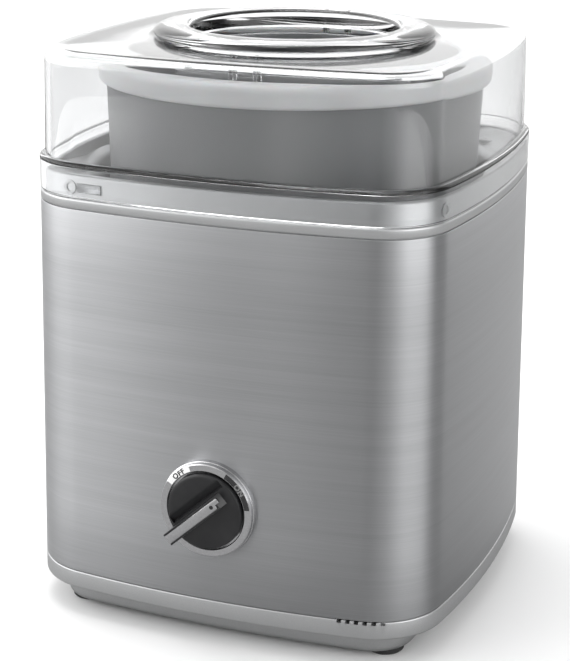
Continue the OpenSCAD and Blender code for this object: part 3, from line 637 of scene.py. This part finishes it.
class MAKER_OT_base(bpy.types.Operator):
    """Moulded base with its step, rounded lower edge and slots"""
    bl_idname = "ice_cream_maker.base"
    bl_label = "Base"

    def execute(self, context):
        rings = Rings(context.scene.cover_sizes)
        wall = context.scene.cover_sizes.wall / MM
        step, top, bow = PAN_STEP, SLEEVE_BOTTOM - 0.4, rings.bow * 0.8

        def low_tier(inset, z):
            half = PAN_HALF - inset
            return rings.place(outline(half, half, PAN_CORNER - inset, bow), z)

        profile = [low_tier(6, PAN_BOTTOM + 0.8), low_tier(5.2, PAN_BOTTOM)]
        profile += edge(low_tier, (2.8, PAN_BOTTOM), (0, PAN_BOTTOM), (0, PAN_BOTTOM + 2.8))
        profile += [low_tier(0, step - 1.1), low_tier(0.5, step - 0.9), low_tier(0.7, step - 0.2)]
        profile += [rings.leaning(9.5, step)]
        profile += edge(rings.leaning, (1.4, step), (0, step), (0, step + 1.4))
        profile += edge(rings.leaning, (0, top - 0.7), (0, top), (0.7, top), 3)
        profile += [rings.leaning(1.0, top), rings.leaning(1.0, SLEEVE_BOTTOM + 5.5)]
        profile += [rings.leaning(1.0 + wall, SLEEVE_BOTTOM + 5.5), rings.leaning(1.0 + wall, step + wall)]
        profile += [low_tier(wall, step + wall), low_tier(wall, PAN_BOTTOM + wall)]
        base = pull_through("base_shell", profile, closed=False)
        cutters = []
        for n in range(6):
            x = 62.6 + 4 * n
            low, high = at(x, -HALF_Y - 6, top - 1.5), at(x + 2.1, 8 - HALF_Y, top + 0.6)
            cutters.append(block("slot", low, high, edge=0.2))
        fan_low, fan_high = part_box("cooling_fan")
        fan = (fan_low + fan_high) / 2
        for n in range(-3, 4):
            y = fan.y + n * 7 * MM
            low, high = (fan.x - 22 * MM, y - 1.5 * MM, 0), (fan.x + 22 * MM, y + 1.5 * MM, 8 * MM)
            cutters.append(block("slot", low, high, edge=0.7))
        gland_low, gland_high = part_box("cord_gland")
        gland = (gland_low + gland_high) / 2
        bpy.ops.mesh.primitive_cylinder_add(vertices=48, radius=4.5 * MM, depth=0.03, location=gland,
                                            rotation=(math.pi / 2, 0, 0))
        cutters.append(bpy.context.object)
        cut(base, cutters)
        smooth(base)
        finish_piece(base, "housing", "silver_plastic", ["base_pan"])
        return {"FINISHED"}


class MAKER_OT_sleeve(bpy.types.Operator):
    """Brushed steel sheet round the body, with the hole for the switch"""
    bl_idname = "ice_cream_maker.sleeve"
    bl_label = "Steel body"

    def execute(self, context):
        rings = Rings(context.scene.cover_sizes)
        t = context.scene.cover_sizes.sheet / MM
        profile = edge(rings.leaning, (t / 2, SLEEVE_BOTTOM), (0, SLEEVE_BOTTOM),
                       (0, SLEEVE_BOTTOM + t / 2), 2)
        height = SLEEVE_TOP - SLEEVE_BOTTOM
        profile += [rings.leaning(0, SLEEVE_BOTTOM + height * k / 6) for k in range(1, 6)]
        profile += edge(rings.leaning, (0, SLEEVE_TOP - t / 2), (0, SLEEVE_TOP), (t / 2, SLEEVE_TOP), 3)
        profile += [rings.leaning(t, SLEEVE_TOP), rings.leaning(t, SLEEVE_BOTTOM)]
        sleeve = pull_through("steel_body", profile)
        bpy.ops.mesh.primitive_cylinder_add(
            vertices=64, radius=17 * MM, depth=0.03, rotation=(math.pi / 2, 0, 0),
            location=(AXIS.x, AXIS.y - HALF_Y * MM, KNOB.z))
        cut(sleeve, [bpy.context.object])
        smooth(sleeve)
        finish_piece(sleeve, "housing", "steel_sleeve", ["body_sleeve"])
        return {"FINISHED"}


class MAKER_OT_housing(bpy.types.Operator):
    """Trim band, upstand, deck and the dished mouth that runs down into the well"""
    bl_idname = "ice_cream_maker.housing"
    bl_label = "Top housing"

    def execute(self, context):
        sizes = context.scene.cover_sizes
        rings, wall, well = Rings(sizes), sizes.wall / MM, sizes.well / MM
        low, trim = SLEEVE_TOP + 0.4, SLEEVE_TOP + 5.1
        inner = sizes.lid_ledge / MM + 0.5
        profile = edge(rings.square, (0.6, low), (0, low), (0, low + 0.6), 3)
        profile += edge(rings.square, (0, trim - 1.2), (0, trim), (1.2, trim), 5)
        profile += [rings.square(inner - 0.1, trim), rings.square(inner, trim + 0.3)]
        profile += edge(rings.square, (inner, DECK - 1.4), (inner, DECK), (inner + 1.4, DECK), 5)

        def dish(radius):
            return min(DECK - 0.2, DECK - 8.5 + max(0, radius - well - 2) * 9 / 22)

        profile += [rings.square(6.4, DECK), rings.square(6.9, DECK - 0.25)]
        profile.append(rings.square(7.1, lambda r: min(DECK - 0.8, dish(r) + 0.3)))
        for radius in (116, 110, 105):
            profile.append(rings.round_within(radius, 7.2 + (116 - radius) * 0.01, dish))
        lip_top = dish(103)
        for radius, rise in ((102.4, 0.2), (101.2, 0.5), (99.6, 0.4), (98, -0.4), (96.6, -1.8), (95.6, -3.4)):
            profile.append(rings.round_within(radius, 7.3, lip_top + rise))
        profile += [rings.round(well, lip_top - 6), rings.round(well, WELL_BOTTOM + 0.05)]
        profile += [rings.round(well + wall, WELL_BOTTOM + 0.05), rings.round(well + wall, SLEEVE_TOP - 10)]
        profile.append(rings.round_within(well + wall, 5.7, SLEEVE_TOP - 5))
        profile.append(rings.round_within(well + wall + 0.2, 5.65, trim - 2))
        profile.append(rings.square(5.6, lambda r: min(DECK, dish(r)) - wall))
        foot = SLEEVE_TOP - 8
        for inset, z in ((5.5, trim - 1), (5.5, foot), (1.0, foot), (1.0, low)):
            profile.append(rings.square(inset, z))
        housing = pull_through("top_cover", profile)
        columns = []
        for node in ("foot_front_left", "foot_front_right", "foot_rear_left", "foot_rear_right"):
            foot_low, foot_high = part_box(node)
            middle = (foot_low + foot_high) / 2

            def ring(radius, z):
                return [(middle.x + x, middle.y + y, z * MM) for x, y in circle(radius * MM, 32)]

            spots = rounded((4.4, 16), (5, 16), (5, 16.6), 2)
            spots += [(5, 203), (8.5, 203), (8.5, 205.5), (5, 205.5)]
            spots += [(5, DECK - 4), (1.9, DECK - 4), (1.9, 16)]
            columns.append(pull_through("column", [ring(r, z) for r, z in spots]))
        housing = join([housing] + columns, "top_cover")
        smooth(housing)
        finish_piece(housing, "housing", "silver_plastic", ["top_housing", "bowl_well"])
        return {"FINISHED"}


class MAKER_OT_lid(bpy.types.Operator):
    """Clear lid with its skirt, rounded top edge, thick spout lip, neck, ribs and locating rings"""
    bl_idname = "ice_cream_maker.lid"
    bl_label = "Clear lid"

    def execute(self, context):
        sizes = context.scene.cover_sizes
        rings, t, ledge, fillet = Rings(sizes), sizes.wall / MM, sizes.lid_ledge / MM, sizes.lid_fillet / MM
        shelf, top, draft = 226, LID_TOP, 0.9
        wall_foot, wall_head = ledge + 0.1, ledge + 0.1 + draft
        s = rings.square
        profile = edge(s, (0.5, LID_BOTTOM), (0, LID_BOTTOM), (0, LID_BOTTOM + 0.5), 3)
        profile += edge(s, (0, shelf - 1.7), (0, shelf), (1.7, shelf), 6)
        profile += edge(s, (wall_foot - 0.3, shelf), (wall_foot, shelf), (wall_foot, shelf + 0.4), 2)
        profile += edge(s, (wall_head, top - fillet), (wall_head, top), (wall_head + fillet, top), 9)
        profile += [s(wall_head + fillet + 4, top)]
        lip = 68
        spots = [(72, top), (69.4, top), (67.2, top - 0.35), (66.9, top - 0.1), (67.3, top + 0.5)]
        spots += [(67.75, top + 1.2), (lip, top + 2.1), (lip - 0.15, top + 3.0), (lip - 0.8, top + 3.9)]
        spots += [(lip - 2.0, top + 4.7), (lip - 3.8, top + 5.3), (lip - 6, SPOUT_TOP - 0.15)]
        spots += [(58, SPOUT_TOP), (53, SPOUT_TOP), (51.6, SPOUT_TOP - 0.3), (50.6, SPOUT_TOP - 1.1), (50.2, SPOUT_TOP - 2.2)]
        spots += [(50.2, top - 13.4), (50.7, top - 14), (52.0, top - 14), (52.5, top - 13.4)]
        spots += [(52.5, top - t - 0.8), (53.3, top - t), (62, top - t), (72, top - t)]
        profile += [rings.round(r, z) for r, z in spots]
        inside = wall_head + t
        profile += edge(s, (inside + fillet - t + 0.6, top - t), (inside, top - t),
                        (inside, top - fillet - 0.6), 8)
        profile += edge(s, (wall_foot + t, shelf - t + 1), (wall_foot + t, shelf - t),
                        (wall_foot + t - 1, shelf - t), 3)
        profile += edge(s, (t + 0.6, shelf - t), (t, shelf - t), (t, shelf - t - 0.6), 2)
        profile += [s(t, LID_BOTTOM + 0.4), s(t - 0.4, LID_BOTTOM)]
        lid = pull_through("clear_lid", profile)
        parts, studs = [lid], []
        # ribs beside the arm's two keys
        for side in (-1, 1):
            for x in (-7, 5):
                y = sorted((side * 58, side * 64))
                parts.append(block("rib", at(x, y[0], top - 12), at(x + 2, y[1], top - t + 0.2), edge=0.3))
        # locating rings inside the skirt, each at the middle of a corner's curve
        px, py = HALF_X - rings.corner - rings.bow, HALF_Y - rings.corner - rings.bow
        for n, (sx, sy) in enumerate(((-1, -1), (1, -1), (1, 1), (-1, 1))):
            out = math.radians(260 + 90 * n)
            reach = rings.corner - t - 0.45
            outward = Vector((math.cos(out), math.sin(out), 0))
            across = Vector((-math.sin(out), math.cos(out), 0))
            middle = Vector(at(sx * px, sy * py, LID_BOTTOM + 4.7)) + outward * reach * MM

            def ring(radius, depth):
                face = middle + outward * depth * MM
                return [tuple(face + across * x + Vector((0, 0, z))) for x, z in circle(radius * MM, 40)]

            spots = [(3.2, 0.35), (3.3, 0.1), (3.2, -0.35), (2.9, -0.5)]
            spots += [(2.2, -0.5), (1.9, -0.35), (1.8, 0.1), (1.9, 0.35)]
            studs.append(pull_through("stud", [ring(r, d) for r, d in spots]))
            if n == 0:
                # small moulded tab beside the front left ring
                turn = Matrix.Rotation(out + math.pi / 2 + math.radians(3), 4, "Z")
                tab = middle - outward * 0.25 * MM + across * 10.5 * MM
                half = Vector((6.5, 0.35, 2.2)) * MM
                parts.append(block("tab", tab - half, tab + half, turn, 0.3))
        lid = join(parts, "clear_lid")
        smooth(lid)
        studs = join(studs, "locating_rings")
        smooth(studs)
        finish_piece(studs, "lid", "clear_plastic", look=finish("machined_steel"))
        finish_piece(lid, "lid", "clear_plastic", ["lid_shell", "lid_top", "spout_ring"])
        return {"FINISHED"}


def lettering(name, words, angle, radius, size):
    """Raised lettering on the bright ring, level with its tangent at an angle."""
    clear_selection()
    bpy.ops.object.text_add()
    text = bpy.context.object
    text.data.body, text.data.size = words, size * MM
    text.data.align_x, text.data.align_y = "CENTER", "CENTER"
    text.data.extrude, text.data.offset, text.data.space_character = 0.06 * MM, 0.12 * MM, 1.15
    bpy.ops.object.convert(target="MESH")
    piece = bpy.context.object
    piece.name = piece.data.name = name
    flat = Matrix.Translation((0, radius * MM, 0))
    turned = Matrix.Rotation(angle - math.pi / 2, 4, "Z") @ flat
    upright = Matrix.Rotation(math.pi / 2, 4, "X") @ turned
    piece.data.transform(Matrix.Translation((AXIS.x, AXIS.y - (BEZEL_FRONT + 0.04) * MM, KNOB.z)) @ upright)
    return piece


def plate_on_ring(name, start, end, inner, outer):
    """Thin curved plate on the bright ring between two angles."""
    steps = 24
    front, back = BEZEL_FRONT + 0.05, BEZEL_FRONT - 0.2
    clear_selection()
    bpy.ops.mesh.primitive_grid_add(x_subdivisions=steps, y_subdivisions=1, size=1)
    piece = bpy.context.object
    piece.name = piece.data.name = name
    for vert in piece.data.vertices:
        angle = math.radians(start + (end - start) * (vert.co.x + 0.5))
        radius = inner + (outer - inner) * (vert.co.y + 0.5)
        vert.co = on_front(radius * math.cos(angle), front, radius * math.sin(angle))
    make_active(piece)
    bpy.ops.object.mode_set(mode="EDIT")
    bpy.ops.mesh.select_all(action="SELECT")
    bpy.ops.mesh.extrude_region_move(TRANSFORM_OT_translate={"value": (0, (front - back) * MM, 0)})
    bpy.ops.mesh.select_all(action="SELECT")
    bpy.ops.mesh.normals_make_consistent(inside=False)
    bpy.ops.object.mode_set(mode="OBJECT")
    return piece


class MAKER_OT_knob(bpy.types.Operator):
    """Bright ring with its lettering, black dial with a raised bar, and the bright strip on the bar"""
    bl_idname = "ice_cream_maker.knob"
    bl_label = "Control knob"

    def execute(self, context):
        rings, sizes = Rings(context.scene.cover_sizes), context.scene.knob_sizes
        front, outer = BEZEL_FRONT, BEZEL_RADIUS
        dial, half_bar, half_strip = sizes.dial / MM, sizes.bar / MM / 2, sizes.strip / MM / 2
        def on_steel(gap):
            return lambda x, z: rings.depth(x, z) + gap

        spots = [(outer + 0.25, on_steel(-0.1)), (outer + 0.3, on_steel(0.5)), (outer + 0.05, front - 2.6)]
        spots += [(outer - 0.25, front - 2.4), (outer - 0.3, front - 0.75), (outer - 0.45, front - 0.3)]
        spots += [(outer - 0.9, front), (dial + 0.75, front), (dial + 0.35, front - 0.3)]
        spots += [(dial + 0.3, front - 2.9), (12, front - 2.9), (5.3, front - 2.9), (5.3, front - 5.2), (12, front - 5.4)]
        spots += [(outer - 2, on_steel(-0.1))]
        bezel = pull_through("knob_ring", [front_ring(r, d) for r, d in spots])
        smooth(bezel)
        finish_piece(bezel, "housing", "chrome", ["knob_bezel"])
        pad = plate_on_ring("off_label", 112, 148, dial + 0.9, outer - 1.0)
        white = grained("white label", (0.78, 0.78, 0.78), (0.86, 0.86, 0.86), 900, rough=(0.35, 0.45))
        finish_piece(pad, "housing", "nylon", look=white)
        shade = plate_on_ring("on_label", 9, 62, dial + 0.9, outer - 1.0)
        black = grained("black label", (0.012, 0.012, 0.013), (0.03, 0.03, 0.031), 900, rough=(0.2, 0.3))
        finish_piece(shade, "housing", "black_plastic", look=black)
        middle = (dial + outer) / 2 - 0.1
        off = lettering("off_letters", "OFF", math.radians(129.5), middle, 3.6)
        finish_piece(off, "housing", "black_plastic")
        on = lettering("on_letters", "ON", math.radians(37), middle, 3.6)
        grey = grained("grey lettering", (0.12, 0.12, 0.12), (0.2, 0.2, 0.2), 900)
        finish_piece(on, "housing", "dark_plastic", look=grey)

        face = front + 2.0
        spots = [(dial - 0.9, front - 2.4), (dial - 0.5, front - 2.4), (dial - 0.45, front - 0.2)]
        spots += [(dial - 0.5, face - 0.9), (dial - 0.75, face - 0.35), (dial - 1.3, face - 0.05)]
        spots += [(dial - 2.4, face), (8, face + 0.1), (2, face + 0.12)]
        disc = pull_through("dial_disc", [front_ring(r, d) for r, d in spots], closed=False)
        angle, centre = sizes.pointer, Vector((AXIS.x, AXIS.y, KNOB.z))
        # in bar terms x runs along the pointer, y out of the front and z to the bar's left
        bar_frame = Matrix.Translation(centre) @ Matrix.Rotation(-angle, 4, "Y")

        def along(piece):
            piece.data.transform(bar_frame)
            return piece

        def sharp(name, low, high):
            """Sharp-edged block between two corners in millimetres."""
            return block(name, Vector(low) * MM, Vector(high) * MM, edge=0)

        tip = DIAL_TIP
        scoop = block("scoop", (-0.0165, -0.004, -0.0033), (0.0165, 0.004, 0.0033),
                      Matrix.Rotation(math.radians(-24), 4, "X"), 0)
        scoop.data.transform(Matrix.Translation((0, -(face + 3.2) * MM, -6.3 * MM)))
        cut(disc, [along(scoop)])
        bar = sharp("bar", (-21, -tip, -half_bar), (21.6, 1 - face, half_bar))
        slope = Matrix.Rotation(math.radians(48), 4, "Z")
        wedge = block("wedge", (-0.016, -0.006, -0.006), (0.016, 0.006, 0.006), slope, 0)
        wedge.data.transform(Matrix.Translation((-25 * MM, -(tip + 5.2) * MM, 0)))
        heel = sharp("heel", (18.8, -face - 0.6, -6), (30, 3 - face, 6))
        channel = sharp("channel", (-15.5, -tip - 2, -half_strip), (30, 1.5 - tip, half_strip))
        cut(bar, [wedge, heel, channel])
        bevel(bar, 0.22, 2)
        dial_piece = join([disc, along(bar)], "dial")
        smooth(dial_piece, 30)
        finish_piece(dial_piece, "knob", "black_plastic", ["knob_dial"])
        strip = sharp("strip", (-13.2, -tip - 0.02, 0.08 - half_strip),
                      (21.65, 1.45 - tip, half_strip - 0.08))
        notch = sharp("notch", (-15, -tip - 2, 0.3), (-10.6, 3 - tip, 4))
        cut(strip, [notch])
        bevel(strip, 0.18, 2)
        smooth(strip, 30)
        finish_piece(along(strip), "knob", "chrome", ["knob_pointer"])
        pin_rings = [[(x - 8.4 * MM, -(tip + rise) * MM, z) for x, z in circle(radius * MM, 24)]
                     for radius, rise in ((1.0, -0.4), (1.0, 0.06), (0.85, 0.16), (0.4, 0.18))]
        pin = pull_through("strip_pin", pin_rings, closed=False)
        smooth(pin)
        finish_piece(along(pin), "knob", "black_plastic")
        return {"FINISHED"}


class MAKER_OT_bowl(bpy.types.Operator):
    """Freezer bowl: outer shell, spun liner and thick rounded rim"""
    bl_idname = "ice_cream_maker.bowl"
    bl_label = "Freezer bowl"

    def execute(self, context):
        lip, floor, draft = RIM_BOTTOM, BOWL_BOTTOM, 3.3
        low = BOWL_RADIUS - draft
        spots = [(10, floor), (low - 8, floor)] + rounded((low - 7, floor), (low, floor), (low, floor + 8), 7)
        spots += [(BOWL_RADIUS, lip - 0.2), (BOWL_RADIUS - 2.2, lip - 0.2), (low - 2.2, floor + 9)]
        spots += [(low - 9, floor + 2.4), (10, floor + 2.4)]
        shell = pull_through("bowl_outside", [round_ring(r, z) for r, z in spots], closed=False)
        smooth(shell)
        finish_piece(shell, "bowl", "bowl_grey", ["bowl_shell"])
        inner, rim, top = LINER_RADIUS, RIM_RADIUS, RIM_TOP
        spots = [(inner + 1.2, lip)] + rounded((rim - 2.2, lip), (rim - 0.2, lip), (rim - 0.2, lip + 2.2), 4)
        spots += [(rim, lip + 4)] + rounded((rim, top - 4), (rim, top), (rim - 4.5, top), 7)
        spots += rounded((inner + 1.6, top), (inner, top), (inner, top - 1.4), 4)
        spots += [(inner, top - 2.05), (inner + 1.2, top - 2.05)]
        band = pull_through("bowl_rim_band", [round_ring(r, z) for r, z in spots])
        smooth(band)
        finish_piece(band, "bowl", "rim_plastic", ["bowl_rim"])
        bottom = liner_low.z / MM + 1.2
        spots = [(3, bottom), (inner - 13, bottom)]
        spots += rounded((inner - 12, bottom), (inner - 4.2, bottom), (inner - 4.0, bottom + 9), 8)
        spots += [(inner, top - 2.1), (inner + 1.15, top - 2.1), (inner - 2.8, bottom + 8.5)]
        spots += [(inner - 10.5, bottom - 1.2), (3, bottom - 1.2)]
        liner = pull_through("bowl_inside", [round_ring(r, z) for r, z in spots], closed=False)
        smooth(liner)
        finish_piece(liner, "bowl", "aluminium", ["bowl_liner"])
        return {"FINISHED"}


class MAKER_OT_arm(bpy.types.Operator):
    """Mixing arm with its moulded edges softened"""
    bl_idname = "ice_cream_maker.arm"
    bl_label = "Mixing arm"

    def execute(self, context):
        arm = frame["nodes"]["mixing_arm"].copy()
        arm.data = arm.data.copy()
        arm.parent = None
        for key in list(arm.keys()):
            del arm[key]
        context.scene.collection.objects.link(arm)
        arm.name = arm.data.name = "mixing_paddle"
        make_active(arm)
        bpy.ops.object.mode_set(mode="EDIT")
        bpy.ops.mesh.select_all(action="SELECT")
        bpy.ops.mesh.remove_doubles(threshold=1e-5)
        bpy.ops.mesh.tris_convert_to_quads(face_threshold=math.radians(1), shape_threshold=math.radians(180))
        bpy.ops.mesh.dissolve_limited(angle_limit=math.radians(0.5))
        bpy.ops.object.mode_set(mode="OBJECT")
        bevel(arm, 0.5, 2, 40)
        smooth(arm)
        finish_piece(arm, "mixing_arm", "arm_plastic", ["mixing_arm"])
        return {"FINISHED"}


class MAKER_OT_inner_finishes(bpy.types.Operator):
    """Finishes of the pieces that keep their own form from the frame"""
    bl_idname = "ice_cream_maker.inner_finishes"
    bl_label = "Inner finishes"

    def execute(self, context):
        for part in frame["record"]["subparts"]:
            piece = frame["nodes"][part["node"]]
            piece.data.materials.clear()
            piece.data.materials.append(finish(part["material_slot"]))
        return {"FINISHED"}


class MAKER_OT_stage(bpy.types.Operator):
    """Pale floor, soft studio light and the camera"""
    bl_idname = "ice_cream_maker.stage"
    bl_label = "Stage"

    def execute(self, context):
        scene = context.scene
        clear_selection()
        bpy.ops.mesh.primitive_plane_add(size=12, location=(0, 0, 0))
        floor = bpy.context.object
        floor.name = "floor"
        pale = Finish("pale floor", Roughness=0.75)
        cloud = pale.noise(pale.place(), 3, 2.0, 0.5)
        paint = pale.ramp(cloud, (0.3, (0.89, 0.89, 0.89)), (0.7, (0.91, 0.91, 0.91)))
        # painted reflection: pale to the eye and through the clear plastic, and painted mid grey only in
        # reflections, standing in for a darker table
        rays = pale.add("LightPath").outputs
        mirrored = pale.math("SUBTRACT", rays["Is Glossy Ray"], rays["Is Transmission Ray"])
        pale.shade(Base_Color=pale.mix(mirrored, paint, (0.3, 0.3, 0.3)))
        floor.data.materials.append(pale.material)
        self.room(scene)
        self.lamp("overhead", (-0.25, 0.1, 1.5), (0, 0, 0), 0.8, 9)
        self.camera(scene)
        scene.view_settings.view_transform = "Standard"
        return {"FINISHED"}

    def room(self, scene):
        """Room seen in the reflections: pale behind the object, and soft bands of grey in front."""
        world = bpy.data.worlds.new("studio")
        scene.world = world
        world.use_nodes = True
        nodes, links = world.node_tree.nodes, world.node_tree.links
        sky = nodes["Background"]
        direction = nodes.new("ShaderNodeTexCoord").outputs["Generated"]
        parts = nodes.new("ShaderNodeSeparateXYZ")
        links.new(direction, parts.inputs[0])

        def value(operation, *values):
            made = nodes.new("ShaderNodeMath")
            made.operation = operation
            for socket, given in zip(made.inputs, values):
                if isinstance(given, bpy.types.NodeSocket):
                    links.new(given, socket)
                else:
                    socket.default_value = given
            return made.outputs[0]

        # azimuth from the front towards the right, as 0 to 1 with the front in the middle
        turn = value("ARCTAN2", parts.outputs["X"], value("MULTIPLY", parts.outputs["Y"], -1))
        around = value("ADD", value("DIVIDE", turn, math.tau), 0.5)
        ramp = nodes.new("ShaderNodeValToRGB")
        links.new(around, ramp.inputs[0])
        bands = ((-180, 1.25), (-140, 1.5), (-112, 1.9), (-92, 2.6), (-76, 3.3), (-44, 3.2), (-34, 1.9),
                 (-30, 1.45), (-24, 1.0), (-18, 0.75), (-14, 1.2), (-11, 0.9), (-6, 0.3), (14, 0.25), (36, 1.0),
                 (62, 2.8), (92, 2.8), (112, 0.3), (134, 0.3), (148, 1.2), (160, 1.35), (180, 1.25))
        elements = ramp.color_ramp.elements
        while len(elements) < len(bands):
            elements.new(0.5)
        for element, (degrees, level) in zip(elements, bands):
            element.position = degrees / 360 + 0.5
            element.color = (level / 4, level / 4, level / 4, 1)
        # above the bands the whole room is an even pale dome
        rise = nodes.new("ShaderNodeMapRange")
        rise.inputs["From Min"].default_value, rise.inputs["From Max"].default_value = 0.55, 0.75
        links.new(parts.outputs["Z"], rise.inputs["Value"])
        dome = nodes.new("ShaderNodeMix")
        dome.data_type = "RGBA"
        links.new(rise.outputs["Result"], dome.inputs[0])
        links.new(ramp.outputs["Color"], dome.inputs[6])
        dome.inputs[7].default_value = (0.24, 0.24, 0.24, 1)
        links.new(dome.outputs[2], sky.inputs["Color"])
        sky.inputs["Strength"].default_value = 4

    def lamp(self, name, place, aim, size, power):
        light = bpy.data.lights.new(name, "AREA")
        light.shape, light.size, light.energy = "SQUARE", size, power
        lamp = bpy.data.objects.new(name, light)
        bpy.context.scene.collection.objects.link(lamp)
        lamp.location = place
        lamp.rotation_euler = (Vector(aim) - Vector(place)).to_track_quat("-Z", "Y").to_euler()

    def camera(self, scene):
        azimuth, elevation, roll = (math.radians(angle) for angle in (21.33, 17.33, 0.485))
        distance = 0.9183
        aim = Vector((-0.00177, 0.00075, 0.12783))
        out = Vector((math.sin(azimuth) * math.cos(elevation), -math.cos(azimuth) * math.cos(elevation),
                      math.sin(elevation)))
        view = bpy.data.cameras.new("camera")
        view.lens, view.sensor_fit, view.sensor_height, view.sensor_width = 99.15, "VERTICAL", 36, 36
        view.clip_start, view.clip_end = 0.01, 50
        camera = bpy.data.objects.new("camera", view)
        scene.collection.objects.link(camera)
        turn = (-out).to_track_quat("-Z", "Y").to_matrix().to_4x4() @ Matrix.Rotation(roll, 4, "Z")
        camera.matrix_world = Matrix.Translation(aim + out * distance) @ turn
        scene.camera = camera


class MAKER_PT_panel(bpy.types.Panel):
    """Lists the pieces in the sidebar"""
    bl_idname = "MAKER_PT_panel"
    bl_label = "Ice Cream Maker"
    bl_space_type = "VIEW_3D"
    bl_region_type = "UI"
    bl_category = "Ice Cream Maker"

    def draw(self, context):
        for settings in ("cover_sizes", "knob_sizes", "finish_colours"):
            group = getattr(context.scene, settings)
            for name in group.__annotations__:
                self.layout.prop(group, name)
        for step in STEPS:
            self.layout.operator(step.bl_idname)


STEPS = (MAKER_OT_stage, MAKER_OT_inner_finishes, MAKER_OT_base, MAKER_OT_sleeve, MAKER_OT_housing,
         MAKER_OT_bowl, MAKER_OT_arm, MAKER_OT_lid, MAKER_OT_knob)
GROUPS = {"cover_sizes": CoverSizes, "knob_sizes": KnobSizes, "finish_colours": FinishColours}


def register():
    for name, group in GROUPS.items():
        bpy.utils.register_class(group)
        setattr(bpy.types.Scene, name, bpy.props.PointerProperty(type=group))
    for step in STEPS:
        bpy.utils.register_class(step)
    bpy.utils.register_class(MAKER_PT_panel)


def unregister():
    bpy.utils.unregister_class(MAKER_PT_panel)
    for step in reversed(STEPS):
        bpy.utils.unregister_class(step)
    for name, group in GROUPS.items():
        delattr(bpy.types.Scene, name)
        bpy.utils.unregister_class(group)


def main():
    register()
    for step in STEPS:
        family, name = step.bl_idname.split(".")
        getattr(getattr(bpy.ops, family), name)()


if __name__ == "__main__":
    main()
